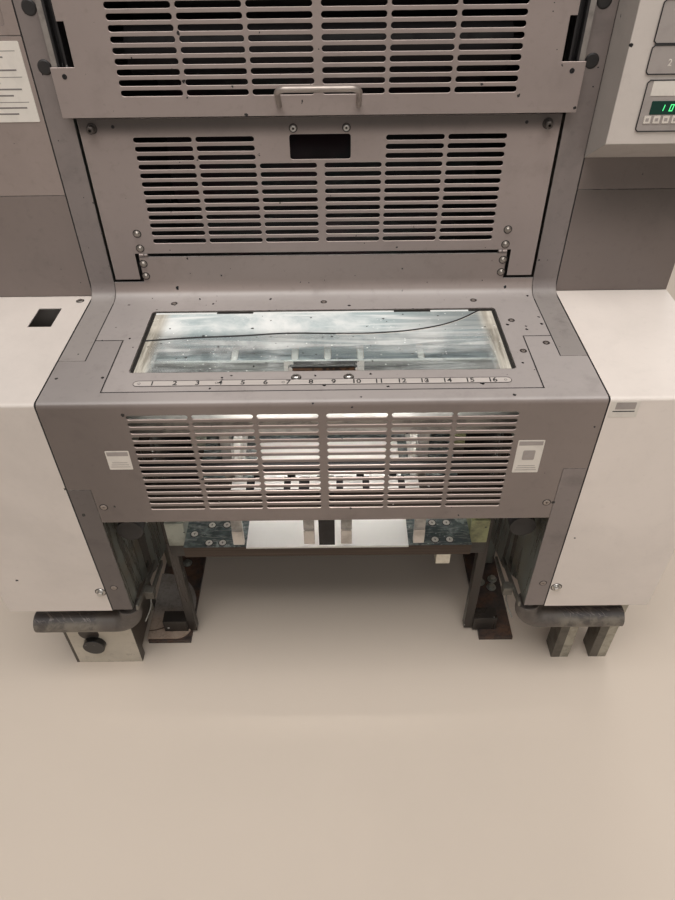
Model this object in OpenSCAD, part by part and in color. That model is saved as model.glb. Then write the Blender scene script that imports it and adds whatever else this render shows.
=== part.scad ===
// Small sheet-fed offset printing press, seen from its delivery end.
// The frame: +X to the right, -Y towards the person at the delivery, +Z up.
// The origin is on the floor under the middle of the machine.

/* [Machine] */
// Length from the delivery face to the feeder end
machine_l = 2400; // [2300:10:2800]
// Width over the side covers
machine_w = 1180; // [1140:10:1400]
// Height over the top cover
machine_h = 1560; // [1540:10:1700]
// Height of the delivery deck above the floor
deck_h = 720; // [700:5:780]
// Clear width between the two side frames
frame_gap = 724; // [716:2:750]
// Thickness of each cast side frame
frame_t = 28; // [22:1:36]
// Length of the printing unit
unit_l = 1220; // [1160:10:1300]
// Height of the feeder sides
feeder_h = 900; // [860:10:980]

/* [Sheet metal] */
// Thickness of the guards and covers
sheet_t = 2; // [1.5:0.5:3]
// Visible seam between neighbouring sheets
seam = 0.7; // [0.5:0.1:0.9]
// Clearance where one piece sits on another
seat = 0.3; // [0.2:0.05:0.4]
// Radius of the front bend of the deck
front_bend_r = 8; // [6:1:12]
// Radius of the hollow bend between deck and tower
deck_bend_r = 25; // [20:1:28]

/* [Slots] */
// Length of a ventilation slot
slot_l = 87; // [80:1:88]
// Height of a ventilation slot
slot_h = 8; // [6:0.5:9]
// Distance from one slot row to the next
slot_pitch = 13; // [12:0.5:13.5]
// Web between two slot columns
slot_web = 5; // [4:0.5:7]
// Web on the centre line
slot_mid = 11; // [9:1:14]

/* [Delivery] */
// Depth of the delivery from its face to the tower
delivery_d = 309; // [300:1:360]
// Height of the front guard's face
guard_drop = 239; // [225:1:260]
// Slot rows in the front guard
front_rows = 15; // [8:1:15]
// Depth of the deck strip on the front guard
deck_strip = 27; // [22:1:32]
// Depth of the deck's inner ears on the front guard
deck_ear = 164; // [150:1:175]
// Depth of the deck's outer corners on the front guard
deck_corner = 107; // [95:1:120]
// Half width of the front guard's cut-out for the deck
ear_x = 313; // [305:1:320]
// Inset of the front guard's bottom corners
notch_w = 36.5; // [32:0.5:40]
// Height of the left bottom corner's top edge under the deck
notch_left = 165; // [150:1:180]
// Height of the right bottom corner's top edge under the deck
notch_right = 131; // [120:1:150]
// Width of the viewing window's opening
window_w = 568; // [540:2:580]
// Depth of the viewing window's opening
window_d = 178; // [150:1:182]
// Distance from the delivery face to the window's opening
window_y = 75; // [70:1:85]
// Thickness of the window pane
pane_t = 4; // [3:0.5:6]
// Width of the finger notch in the pane
finger_w = 102; // [80:2:130]
// Depth of the finger notch in the pane
finger_d = 20; // [16:1:30]
// Length of the zone strip on the deck
strip_l = 542; // [530:1:560]
// Width of the zone strip on the deck
strip_w = 13; // [10:1:16]

/* [Delivery cabinets] */
// Height of the delivery cabinets
cabinet_h = 478; // [460:1:500]
// Edge radius of the cabinets
cabinet_r = 5; // [3:1:8]
// Width of the opening in the left cabinet's top
well_w = 38; // [30:1:50]
// Length of the opening in the left cabinet's top
well_l = 60; // [50:1:80]
// Diameter of the bent foot tubes
tube_d = 42; // [36:1:46]
// Bend radius of the foot tubes on their centre line
tube_bend = 34; // [30:1:40]
// Depth of the foot tubes' centre line under the deck
tube_drop = 540; // [530:1:555]
// Distance of the left floor plate from the middle
plate_left = 304; // [290:1:330]
// Distance of the right floor plate from the middle
plate_right = 324; // [290:1:330]
// Width of the left machine foot
foot_w = 140; // [120:2:150]
// Length of the left machine foot
foot_l = 150; // [130:2:170]
// Width of each channel leg under the right cabinet
channel_w = 36; // [30:1:40]

/* [Post] */
// Width of the fairing on each post
post_w = 40; // [36:1:44]
// Overlap of the fairing past the frame's inner face
post_lap = 5; // [4:1:7]
// Diameter of the plugs in the posts
plug_d = 18; // [14:1:22]
// Distance from one post plug to the next
plug_pitch = 70; // [60:1:90]

/* [Tower guards] */
// Height of the middle guard's hinge over the deck
hinge_z = 73; // [70:1:78]
// Height of the middle guard's bottom corners over the deck
guard_foot = 30; // [29:1:34]
// Height of the middle guard's top edge over the deck
guard_top = 283; // [278:1:284]
// Diameter of the hinge knuckles
knuckle_d = 5; // [4:0.5:5.5]
// Width of the hand hole in the middle guard
hand_w = 91; // [80:1:100]
// Height of the hand hole in the middle guard
hand_h = 36; // [30:1:38]
// Distance of the upper guard's sheet in front of the tower face
guard_out = 14; // [13:0.5:18]
// Height of the upper guard's bottom edge over the deck
lift_z = 288; // [287.5:0.5:292]
// Height of the upper guard
lift_h = 257; // [250:1:262]
// Height that the upper guard slides up
lift_travel = 240; // [200:5:240]
// Width of the upper guard's lower part
lift_w = 732; // [722:2:750]
// Height of the upper guard's lower part
lift_step = 64; // [50:1:66]
// Depth of the notch in each side of the upper guard
lift_notch = 33.5; // [28:0.5:34]
// Height of the notch in each side of the upper guard
lift_notch_h = 54; // [40:1:60]
// Slot rows in the upper guard
lift_rows = 15; // [8:1:15]
// Diameter of the guard handle's rod
rod_d = 8.5; // [7:0.5:10]
// Width of the guard handle
handle_w = 112; // [90:2:140]
// Reach of the guard handle from the sheet
handle_out = 51; // [45:1:60]
// Upward slope of the guard handle in degrees
handle_tilt = 38; // [20:1:45]

/* [Delivery pile] */
// Width of the pile board
board_w = 530; // [510:2:540]
// Depth of the pile board
board_d = 400; // [380:5:430]
// Thickness of the pile board
board_t = 27; // [22:1:32]
// Height of the pile board's top under the deck
board_drop = 385; // [375:1:395]
// Distance from the delivery face to the pile board
board_y = 70; // [64:1:80]
// Width of the sheets on the pile board
paper_w = 297; // [210:1:297]
// Length of the sheets on the pile board
paper_l = 300; // [210:1:375]
// Height of the sheets on the pile board
paper_t = 4; // [3:1:12]
// Width of the sheet stops
stop_w = 19; // [14:1:24]
// Depth of the guide plate's front edge behind the delivery face
guide_y = 180; // [176:1:186]
// Length of the guide plate
guide_l = 165; // [150:1:175]
// Height of the guide plate's front flange
guide_lip = 40; // [20:1:50]
// Radius of the brake wheels
wheel_r = 22; // [18:1:24]

/* [Control box] */
// Distance that the control box stands out of the tower
box_out = 70; // [60:1:90]
// Height of the control box's back edge over the deck
box_low = 221; // [200:1:240]
// Height of the control box's front edge over the deck
box_front = 261; // [250:1:275]
// Height of the control box's top over the deck
box_top = 470; // [450:1:500]
// Size of a control key
key_w = 9.5; // [8:0.5:11]
// Distance from one control key to the next
key_pitch = 12.6; // [12:0.1:15]

/* [Printing unit] */
// Radius of the plate and blanket cylinders
cylinder_r = 90; // [80:1:92]
// Radius of the impression cylinder
impression_r = 180; // [160:2:180]
// Width of the printing cylinders
cylinder_w = 560; // [540:2:600]
// Radius of the cylinder journals
journal_r = 24; // [18:1:30]
// Height of the top cover
cap_h = 60; // [50:1:80]
// Height of the lower side covers' bottom edge
skirt_z = 120; // [100:5:160]
// Rows of air slots in the side and rear covers
vent_rows = 6; // [3:1:8]

/* [Feeder] */
// Width of the paper in the feeder
sheet_w = 520; // [420:2:520]
// Length of the paper in the feeder
sheet_l = 375; // [300:5:375]
// Height of the paper in the feeder
feed_stack = 420; // [300:10:450]
// Width of each feeder side
feeder_side_w = 88; // [80:1:110]

/* [Hidden] */
$fn = 64;

eps = 0.01;
front_y = -machine_l / 2;
tower_y = front_y + delivery_d;
unit_end = tower_y + unit_l;
rear_y = machine_l / 2;
half_w = machine_w / 2;
half_gap = frame_gap / 2;
frame_out = half_gap + frame_t;
post_in = half_gap - post_lap;
post_out = post_in + post_w;
post_top = machine_h - cap_h - seat;
cover_in = post_out + seam;
deck_under = deck_h - sheet_t;
axis_z = deck_h + hinge_z;
axis_y = tower_y + sheet_t / 2;
board_top = deck_h - board_drop;
board_low = board_top - board_t;
run = 0.6;

warm_grey = [0.50, 0.46, 0.44];
pale_grey = [0.62, 0.60, 0.58];
cabinet_white = [0.80, 0.75, 0.69];
black = [0.08, 0.08, 0.08];
steel = [0.62, 0.63, 0.62];
cast = [0.42, 0.44, 0.42];

// A copy on each side of the machine's middle plane
module both() {
    children();
    mirror([1, 0, 0]) children();
}

// A sheet that faces the delivery, drawn as x, z and set from y to y + t
module wall(y, t) {
    translate([0, y + t, 0]) rotate([90, 0, 0]) linear_extrude(t) children();
}

// A sheet that lies flat, drawn as x, y and set from z to z + t
module slab(z, t) {
    translate([0, 0, z]) linear_extrude(t) children();
}

// A profile drawn as y, z and run along X from x to x + w
module along(x, w) {
    translate([x, 0, 0]) rotate([90, 0, 90]) linear_extrude(w) children();
}

module box(x0, x1, y0, y1, z0, z1) {
    translate([x0, y0, z0]) cube([x1 - x0, y1 - y0, z1 - z0]);
}

module area(x0, x1, y0, y1) {
    translate([x0, y0]) square([x1 - x0, y1 - y0]);
}

// A rectangle with round corners
module round_area(x0, x1, y0, y1, r) {
    area(x0 + r, x1 - r, y0, y1);
    area(x0, x1, y0 + r, y1 - r);
    for (x = [x0 + r, x1 - r])
        for (y = [y0 + r, y1 - r])
            translate([x, y]) circle(r);
}

// A quarter of a ring, in the quadrant right of and above its centre
module bend(r, t) {
    intersection() {
        difference() {
            circle(r + t);
            circle(r);
        }
        square(r + t + 1);
    }
}

// A round bar along X
module bar_x(x0, x1, y, z, r) {
    translate([x0, y, z]) rotate([0, 90, 0]) cylinder(h = x1 - x0, r = r);
}

// A round bar along Y
module bar_y(x, y0, y1, z, r) {
    translate([x, y0, z]) rotate([-90, 0, 0]) cylinder(h = y1 - y0, r = r);
}

// One ventilation slot with round ends
module slot() {
    straight = slot_l - slot_h;
    square([straight, slot_h], center = true);
    for (s = [-1, 1])
        translate([s * straight / 2, 0]) circle(d = slot_h);
}

// Middle of a slot column, counted from the centre line outwards
function column_x(i) = slot_mid / 2 + slot_l / 2 + i * (slot_l + slot_web);

// Rows of slots upwards from z, in the columns given for both sides
module slot_rows(z, rows, columns) {
    for (row = [0 : rows - 1])
        for (column = columns)
            for (side = [-1, 1])
                translate([side * column_x(column), z + row * slot_pitch]) slot();
}

// The delivery's front sheet: slotted face, round front edge and deck strip
front_slot_drop = 207;
front_slot_z = deck_h - front_slot_drop;

module front_guard() {
    foot = deck_h - guard_drop;
    color(warm_grey) {
        wall(front_y, sheet_t)
            difference() {
                area(-post_out, post_out, foot, deck_h - front_bend_r);
                area(-post_out - 1, -post_out + notch_w, foot - 1, deck_h - notch_left);
                area(post_out - notch_w, post_out + 1, foot - 1, deck_h - notch_right);
                slot_rows(front_slot_z, front_rows, [0, 1, 2]);
            }
        along(-post_out, 2 * post_out)
            translate([front_y + front_bend_r, deck_h - front_bend_r])
                mirror([1, 0]) bend(front_bend_r - sheet_t, sheet_t);
        slab(deck_under, sheet_t) {
            area(-post_out, post_out, front_y + front_bend_r, front_y + deck_strip);
            for (side = [0, 1])
                mirror([side, 0]) {
                    area(ear_x, post_out, front_y + front_bend_r, front_y + deck_corner);
                    area(ear_x, post_in - seam, front_y + deck_strip, front_y + deck_ear);
                }
        }
    }
}

// Painted strips on the front edges of the side frames
module leg_strips() {
    foot = deck_h - cabinet_h + 3;
    color(warm_grey)
        wall(front_y, sheet_t) {
            area(-post_out, -post_out + notch_w - seam, foot, deck_h - notch_left - seam);
            area(post_out - notch_w + seam, post_out, foot, deck_h - notch_right - seam);
        }
}

// The deck sheet with the window, its hollow bend and the lip that carries the hinges
lip_x = ear_x - 8;
lip_top = hinge_z - 3;

module window_panel() {
    curve_y = tower_y - deck_bend_r;
    side_x = post_in - seam;
    inner_x = ear_x - seam;
    color(warm_grey) {
        slab(deck_under, sheet_t)
            difference() {
                union() {
                    area(-side_x, side_x, front_y + deck_ear + seam, curve_y);
                    area(-inner_x, inner_x, front_y + deck_strip + seam, curve_y);
                }
                round_area(-window_w / 2, window_w / 2, front_y + window_y,
                    front_y + window_y + window_d, 6);
            }
        along(-side_x, 2 * side_x)
            translate([curve_y, deck_h + deck_bend_r])
                mirror([0, 1]) bend(deck_bend_r, sheet_t);
        wall(tower_y, sheet_t)
            area(-lip_x, lip_x, deck_h + deck_bend_r, deck_h + lip_top);
        both() hinge_leaf(deck_h + deck_bend_r + 5, deck_h + lip_top, axis_z);
    }
}

// A hinge leaf behind a sheet, from its far edge to the knuckle
hinge_x = 297;
hinge_w = 14;
leaf_t = 1.5;

module hinge_leaf(z0, z1, knuckle_z) {
    leaf_y = tower_y + sheet_t;
    low = min(z0, z1);
    high = max(z0, z1);
    box(hinge_x - hinge_w / 2, hinge_x + hinge_w / 2, leaf_y, leaf_y + leaf_t, low, high);
    bar_x(hinge_x - hinge_w / 2, hinge_x - 1, axis_y, knuckle_z, knuckle_d / 2);
    neck = knuckle_d / 2 - 0.5;
    box(hinge_x - hinge_w / 2, hinge_x - 1, axis_y, leaf_y + leaf_t, high - 1, knuckle_z - neck);
}

// Clear pane under the deck with a finger notch at its front edge
pane_lap = 9;

module window_pane() {
    x = window_w / 2 + pane_lap;
    y0 = front_y + window_y - pane_lap;
    y1 = front_y + window_y + window_d + pane_lap;
    color([0.6, 0.7, 0.7, 0.5])
        slab(deck_under - pane_t, pane_t)
            difference() {
                area(-x, x, y0, y1);
                round_area(-finger_w / 2, finger_w / 2, y0 - 10,
                    front_y + window_y + finger_d, 5);
            }
}

// Plate with the ink zone scale
strip_y = 46.5;

module zone_strip() {
    color([0.85, 0.82, 0.78])
        slab(deck_h, 0.8)
            round_area(-strip_l / 2, strip_l / 2, front_y + strip_y - strip_w / 2,
                front_y + strip_y + strip_w / 2, strip_w / 2 - eps);
}

// Fairings down the front of the posts, round the hollow bend and along the deck
plug_low = 350;
plug_x = post_in + 21;
function plug_count() = floor((post_top - deck_h - plug_low) / plug_pitch);

module post_fairings() {
    curve_y = tower_y - deck_bend_r;
    color(pale_grey)
        both() {
            slab(deck_under, sheet_t)
                area(post_in, post_out, front_y + deck_corner + seam, curve_y);
            along(post_in, post_w)
                translate([curve_y, deck_h + deck_bend_r])
                    mirror([0, 1]) bend(deck_bend_r, sheet_t);
            wall(tower_y, sheet_t)
                difference() {
                    area(post_in, post_out, deck_h + deck_bend_r, post_top);
                    for (i = [0 : plug_count() - 1])
                        translate([plug_x, deck_h + plug_low + i * plug_pitch])
                            circle(d = plug_d);
                }
        }
}

// Plugs that close the holes in the posts
module post_plugs() {
    color(black)
        both()
            for (i = [0 : plug_count() - 1])
                translate([plug_x, tower_y, deck_h + plug_low + i * plug_pitch])
                    rotate([90, 0, 0]) {
                        cylinder(h = 1.4, r1 = plug_d / 2 + 1, r2 = plug_d / 2 - 1);
                        translate([0, 0, -sheet_t]) cylinder(h = sheet_t, d = plug_d - 0.2);
                    }
}

// Outline of a cabinet from the side, with a round top front edge, inset by t
module cabinet_side(t) {
    r = cabinet_r - t;
    y0 = front_y + t;
    y1 = tower_y - seam - t;
    z0 = deck_h - cabinet_h + t;
    z1 = deck_h - t;
    area(y0 + r, y1, z0, z1);
    area(y0, y1, z0, z1 - r);
    translate([y0 + r, z1 - r]) circle(r);
}

// Sheet metal cabinet on the right, open towards the side frame
module delivery_cabinet() {
    difference() {
        along(cover_in, half_w - cover_in) cabinet_side(0);
        along(cover_in - 1, half_w - cover_in + 1 - sheet_t) cabinet_side(sheet_t);
    }
}

// The opening in the left cabinet's top
well_x = 42;
well_y = 208;

module delivery_cabinet_left() {
    x1 = -cover_in - well_x;
    color(cabinet_white)
        difference() {
            mirror([1, 0, 0]) delivery_cabinet();
            box(x1 - well_w, x1, front_y + well_y, front_y + well_y + well_l,
                deck_h - 2 * sheet_t, deck_h + 1);
        }
}

module delivery_cabinet_right() {
    color(cabinet_white) delivery_cabinet();
}

// Bent tubes in front of the feet: a short upright under each leg and a level run outwards
tube_x = half_gap + frame_t / 2;
tube_y = front_y + tube_d / 2;
tube_z = deck_h - tube_drop;
tube_top = deck_h - cabinet_h - seat;
tube_end = half_w - 27;
tube_wall = 3;
stud_h = 13;

module foot_tubes() {
    r = tube_d / 2;
    rim = tube_top - stud_h;
    color(steel)
        both() {
            translate([tube_x, tube_y, tube_z + tube_bend])
                difference() {
                    cylinder(h = rim - tube_z - tube_bend, r = r);
                    translate([0, 0, rim - tube_z - tube_bend - tube_wall])
                        cylinder(h = tube_wall + 1, r = r - tube_wall);
                }
            translate([tube_x, tube_y, rim - tube_wall - eps]) {
                cylinder(h = tube_wall + stud_h + eps, r = 8);
                cylinder(h = tube_wall + 6, r = 12);
            }
            translate([tube_x + tube_bend, tube_y, tube_z + tube_bend])
                rotate([90, 0, 0]) rotate([0, 0, 180])
                    rotate_extrude(angle = 90) translate([tube_bend, 0]) circle(r);
            bar_x(tube_x + tube_bend, tube_end, tube_y, tube_z, r);
        }
}

// Machine foot behind the left tube, with a neck up to the cabinet
foot_y = front_y + tube_d + seat;
foot_gap = 10;
foot_x = -frame_out - foot_gap - foot_w;
knob_share = 0.4;
knob_t = 12;
arch_h = 30;
arch_in = 20;
neck_in = 30;
knob_r = 22;
knob_rise = 42;

module cabinet_foot_left() {
    top = tube_z + tube_d / 2;
    x1 = foot_x + foot_w;
    y1 = foot_y + foot_l;
    color([0.55, 0.56, 0.50]) {
        difference() {
            box(foot_x, x1, foot_y, y1, 0, top);
            box(foot_x - 1, x1 + 1, foot_y + arch_in, y1 - arch_in, -1, arch_h);
        }
        box(foot_x + neck_in, x1 - neck_in, foot_y + neck_in, y1 - neck_in,
            top - eps, deck_h - cabinet_h);
        bar_y(foot_x + foot_w * knob_share, foot_y - knob_t, foot_y, arch_h + knob_rise, knob_r);
    }
}

// Two channel legs under the right cabinet
channel_l = 40;
channel_t = 4;
channel_cap = 20;
channel_in = 40;
channel_pitch = 80;
channel_xs = [half_w - channel_in - channel_pitch, half_w - channel_in];

module cabinet_legs_right() {
    top = deck_h - cabinet_h;
    color(steel)
        for (x = channel_xs)
            difference() {
                box(x, x + channel_w, foot_y, foot_y + channel_l, 0, top);
                box(x + channel_t, x + channel_w - channel_t, foot_y + channel_t,
                    foot_y + channel_l + 1, -1, top - channel_cap);
            }
}

// Steel plates on the floor under the side frames
plate_t = 10;
plate_lap = 6;
plate_y = 86;
plate_end = 120;

module floor_plates() {
    x = frame_out + plate_lap;
    y0 = front_y + plate_y;
    y1 = rear_y - plate_end;
    color([0.35, 0.30, 0.27]) {
        box(-x, -plate_left, y0, y1, 0, plate_t);
        box(plate_right, x, y0, y1, 0, plate_t);
    }
}

// Cast side frames, drawn from the side
sole_in = 290;
sole_rise = 120;
knee_in = 150;
knee_rise = 72;
toe_in = 60;
ledge_w = 24;
ledge_h = 12;
ledge_in = 20;
ledge_end = 4;

module frame_outline() {
    y0 = front_y + sheet_t + seat;
    top = deck_under - seat;
    foot = deck_h - cabinet_h;
    polygon([
        [y0, foot],
        [y0, top - front_bend_r],
        [y0 + front_bend_r, top],
        [tower_y + sheet_t + seat, top],
        [tower_y + sheet_t + seat, post_top],
        [unit_end, post_top],
        [unit_end, plate_t],
        [front_y + sole_in, plate_t],
        [front_y + sole_in, foot - sole_rise],
        [front_y + knee_in, foot - knee_rise],
        [front_y + toe_in, foot]
    ]);
}

module side_frame() {
    along(half_gap, frame_t) frame_outline();
    // Ledge that carries the edge of the deck
    box(half_gap - ledge_w, half_gap, front_y + deck_ear + ledge_in,
        tower_y - deck_bend_r - ledge_end, deck_under - seat - ledge_h, deck_under - seat);
}

module side_frame_left() {
    color(cast) mirror([1, 0, 0]) side_frame();
}

module side_frame_right() {
    color(cast) side_frame();
}

// Rail behind the front guard with the stops that the sheets run against
rail_y = 22;
rail_t = 28;
rail_top = 190;
rail_h = 42;
stop_xs = [-156.5, -31, 34.5, 162.5];
stop_foot = 352;
stop_t = 6;
lug_h = 33;
toe_h = 34;
toe_t = 3;
centre_w = 28;
centre_t = 8;
top_gap = 5;
beam_y = 75;
beam_w = 25;
beam_top = 90;
beam_h = 30;

module sheet_stops() {
    y0 = front_y + rail_y;
    back = y0 + rail_t;
    z1 = deck_h - rail_top;
    z0 = z1 - rail_h;
    low = deck_h - stop_foot;
    length = half_gap - seat;
    color(steel) {
        box(-length, length, y0, back, z0, z1);
        for (x = stop_xs) {
            box(x - stop_w / 2, x + stop_w / 2, back, back + stop_t, low, z1 - top_gap);
            box(x - stop_w / 2, x + stop_w / 2, back - stop_t, back + toe_t, z0 - lug_h, z0);
            box(x - stop_w / 2, x + stop_w / 2, back - toe_t, back, low, low + toe_h);
        }
        box(-centre_w / 2, centre_w / 2, back, back + centre_t, low - stop_t, z1 - top_gap);
        box(-length, length, front_y + beam_y, front_y + beam_y + beam_w,
            deck_h - beam_top - beam_h, deck_h - beam_top);
        both() side_jogger();
    }
}

// Angle that squares one side of the sheets, hung from the beam
jogger_y = 90;
jogger_l = 240;
jogger_top = 222;
jogger_h = 52;
jogger_t = 3;
jogger_w = 16;
paper_gap = 3;

module side_jogger() {
    x0 = paper_w / 2 + paper_gap;
    z1 = deck_h - jogger_top;
    y0 = front_y + jogger_y;
    box(x0, x0 + jogger_t, y0, y0 + jogger_l, z1 - jogger_h, z1);
    box(x0, x0 + jogger_w, y0, y0 + jogger_l, z1 - jogger_t, z1);
    box(x0, x0 + jogger_w, front_y + beam_y, front_y + beam_y + beam_w,
        z1 - jogger_t, deck_h - beam_top - beam_h);
}

// Plate under the window that leads the sheets to the pile, with slots for the brake wheels
guide_drop = 54;
guide_z = deck_h - guide_drop;
guide_side = 284;
guide_side_w = 26;
guide_side_h = 14;
guide_notch_x = 160;
guide_notch = [68, 16];
wheel_w = 10;
wheel_gap = 1;
wheel_run = 3;
brake_r = 7;
wheel_xs = [-148, -48, 6, 60, 160];
brake_y = front_y + guide_y + sheet_t + wheel_run + wheel_r;
brake_z = guide_z + wheel_gap - wheel_r;

module sheet_guide_plate() {
    y0 = front_y + guide_y;
    y1 = y0 + guide_l;
    length = half_gap - seat;
    reach = wheel_w / 2 + wheel_gap;
    color(steel) {
        slab(guide_z - sheet_t, sheet_t)
            difference() {
                area(-length, length, y0, y1);
                for (x = wheel_xs)
                    round_area(x - reach, x + reach, brake_y - wheel_r - wheel_run + 1,
                        brake_y + wheel_r + wheel_run, reach - eps);
                for (side = [-1, 1])
                    translate([side * guide_notch_x, y1]) square(guide_notch, center = true);
            }
        wall(y0, sheet_t) area(-length, length, guide_z - guide_lip, guide_z - sheet_t + eps);
        both()
            box(guide_side, guide_side + guide_side_w, y0, y1, guide_z - eps, guide_z + guide_side_h);
    }
}

// Brake shaft under the guide plate, with soft wheels that slow the sheets
module sheet_brake() {
    color([0.85, 0.84, 0.80]) {
        bar_x(-half_gap + seat, half_gap - seat, brake_y, brake_z, brake_r);
        for (x = wheel_xs)
            bar_x(x - wheel_w / 2, x + wheel_w / 2, brake_y, brake_z, wheel_r);
    }
}

// Round bars that tie the two side frames together, and the clamps on the front one
tie_r = 9;
tie_places = [[50, 168], [260, 150]];
unit_tie_r = 25;
unit_tie_z = 80;
unit_tie_in = 291;
unit_tie_end = 49;
clamp_xs = [-110, -55, 57, 110];
clamp_w = 12;
clamp_t = 11;
clamp_drop = 36;
clamp_rise = 6;

module tie_bars() {
    length = half_gap - seat;
    clamp_y = front_y + tie_places[0][0] + 1;
    clamp_z = deck_h - tie_places[0][1];
    color(black) {
        for (place = tie_places)
            bar_x(-length, length, front_y + place[0], deck_h - place[1], tie_r);
        for (x = clamp_xs)
            box(x - clamp_w / 2, x + clamp_w / 2, clamp_y, clamp_y + clamp_t,
                clamp_z - clamp_drop, clamp_z + clamp_rise);
        for (y = [tower_y + unit_tie_in, unit_end - unit_tie_end])
            bar_x(-length, length, y, unit_tie_z, unit_tie_r);
    }
}

// Upright rails on which the pile board rises, with blocks to the side frames
rail_gap = 28;
rail_in = board_w / 2 + rail_gap;
rail_w = 18;
rail_ys = [50, 330];
rail_drop = 160;
bracket_w = 28;
bracket_h = 40;
bracket_drop = 220;

module lift_rails() {
    color(black)
        both()
            for (y = rail_ys) {
                yc = front_y + board_y + y;
                box(rail_in, rail_in + rail_w, yc - rail_w / 2, yc + rail_w / 2, plate_t,
                    deck_h - rail_drop);
                for (z = [plate_t, deck_h - bracket_drop])
                    box(rail_in + rail_w, half_gap - seat, yc - bracket_w / 2,
                        yc + bracket_w / 2, z, z + bracket_h);
            }
}

// Round knobs on the side joggers, seen under the front guard
knob_x = 332;
knob_drop = 287;
knob_in = 24;
grip_r = 22;
grip_t = 22;
stem_r = 8;
stem_l = 38;
arm_in = 12;
arm_t = 16;
arm_h = 28;

module jogger_knobs() {
    stem_y = front_y + knob_in + grip_t;
    arm_y = stem_y + stem_l;
    zc = deck_h - knob_drop;
    color(black)
        both() {
            bar_y(knob_x, stem_y - grip_t, stem_y, zc, grip_r);
            bar_y(knob_x, stem_y, arm_y, zc, stem_r);
            box(knob_x - arm_in, half_gap - seat, arm_y, arm_y + arm_t,
                zc - arm_h / 2, zc + arm_h / 2);
        }
}

// Grey sheets on the tower face beside the posts
panel_seams = [173, 388];

module tower_sheet(z0, z1) {
    wall(tower_y, sheet_t) area(cover_in, half_w, deck_h + z0, deck_h + z1);
}

recess_z = 400;
recess_h = 120;
recess_in = 40;
recess_out = 19;

module tower_panels() {
    top = post_top - deck_h;
    color(warm_grey) {
        both() {
            tower_sheet(0, panel_seams[0] - seam / 2);
            tower_sheet(panel_seams[0] + seam / 2, panel_seams[1] - seam / 2);
        }
        tower_sheet(panel_seams[1] + seam / 2, top);
        difference() {
            mirror([1, 0, 0]) tower_sheet(panel_seams[1] + seam / 2, top);
            wall(tower_y - 1, sheet_t + 2)
                round_area(-half_w + recess_in, -cover_in - recess_out, deck_h + recess_z,
                    deck_h + recess_z + recess_h, 4);
        }
    }
}

// Control box that stands out of the tower on the right, with a sloped underside
module control_box() {
    color(cabinet_white)
        along(cover_in, half_w - cover_in)
            polygon([
                [tower_y - box_out, deck_h + box_front],
                [tower_y - box_out, deck_h + box_top],
                [tower_y, deck_h + box_top],
                [tower_y, deck_h + box_low]
            ]);
}

// Plates on the face of the control box: left edge past the cover, low and high edge over the deck
panel_rows = [[36, 278, 341], [30, 348, 381], [30, 383, 430]];
panel_out = 10;
panel_t = 1.5;

module control_panel() {
    color([0.45, 0.44, 0.42])
        wall(tower_y - box_out - panel_t, panel_t)
            for (row = panel_rows)
                round_area(cover_in + row[0], half_w - panel_out, deck_h + row[1], deck_h + row[2], 3);
}

// Key rows on the lower control plate
key_in = 48;
key_rise = 288;
key_h = 10;

module control_keys() {
    x0 = cover_in + key_in;
    y1 = tower_y - box_out - panel_t;
    z0 = deck_h + key_rise;
    color([0.8, 0.8, 0.78])
        for (i = [0 : 9])
            box(x0 + i * key_pitch - key_w / 2, x0 + i * key_pitch + key_w / 2,
                y1 - 1, y1, z0, z0 + key_h);
}

// Channels in which the upper guard slides, with a bright flange on each post
groove_w = 8;
groove_d = 12;

rail_out = 9;
rail_deep = 20;
groove_in = 3;
flange_w = 8;
rail_reach = 14;
rail_x = post_in - rail_reach;
block_h = 30;
block_low = 10;
block_drop = 45;
block_high = lift_h - block_drop;
end_h = 8;

module guard_rails() {
    y0 = tower_y - rail_out;
    z0 = deck_h + lift_z;
    end_z = min(z0 + block_high + block_h + lift_travel + seat, post_top - end_h);
    color(black)
        both() {
            difference() {
                union() {
                    box(rail_x, post_in - seat, y0, y0 + rail_deep, z0, post_top);
                    box(rail_x, post_in + flange_w, y0, tower_y - seat, z0, post_top);
                }
                box(rail_x + groove_in, rail_x + groove_in + groove_w, y0 - 1, y0 + groove_d,
                    z0 - 1, post_top + 1);
            }
            // End stop in the groove
            box(rail_x + groove_in - eps, rail_x + groove_in + groove_w + eps, y0,
                y0 + groove_d + eps, end_z, end_z + end_h);
        }
}

// Cylinders between the side frames
module roller(y, z, r, w, journal) {
    bar_x(-w / 2, w / 2, y, z, r);
    bar_x(-half_gap + seat, -w / 2 + eps, y, z, journal);
    bar_x(w / 2 - eps, half_gap - seat, y, z, journal);
}

// Axes behind the tower face and above the deck
plate_places = [[310, 320], [770, 320]];
blanket_places = [[300, 135], [780, 135]];
impression_place = [540, -60];

module printing_cylinders() {
    color(steel)
        for (place = concat(plate_places, blanket_places))
            roller(tower_y + place[0], deck_h + place[1], cylinder_r, cylinder_w, journal_r);
}

module impression_cylinder() {
    place = impression_place;
    color(steel)
        roller(tower_y + place[0], deck_h + place[1], impression_r, cylinder_w, journal_r * 1.5);
}

// Axis behind the tower face, height above the deck and radius of each ink roller
ink_places = [
    [95, 355, 34], [150, 410, 26], [90, 445, 30], [165, 480, 34],
    [100, 520, 28], [160, 565, 26], [240, 510, 30]
];
ink_journal_r = 10;

module ink_rollers() {
    color([0.16, 0.15, 0.16])
        for (place = ink_places)
            roller(tower_y + place[0], deck_h + place[1], place[2], cylinder_w, ink_journal_r);
}

// Cover over the upper guard's opening
module front_cover() {
    color(warm_grey)
        wall(tower_y, sheet_t)
            area(-rail_x + run, rail_x - run, deck_h + lift_z + lift_h, post_top);
}

// Cover on the feeder side of the printing unit
cover_rise = 20;

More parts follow.
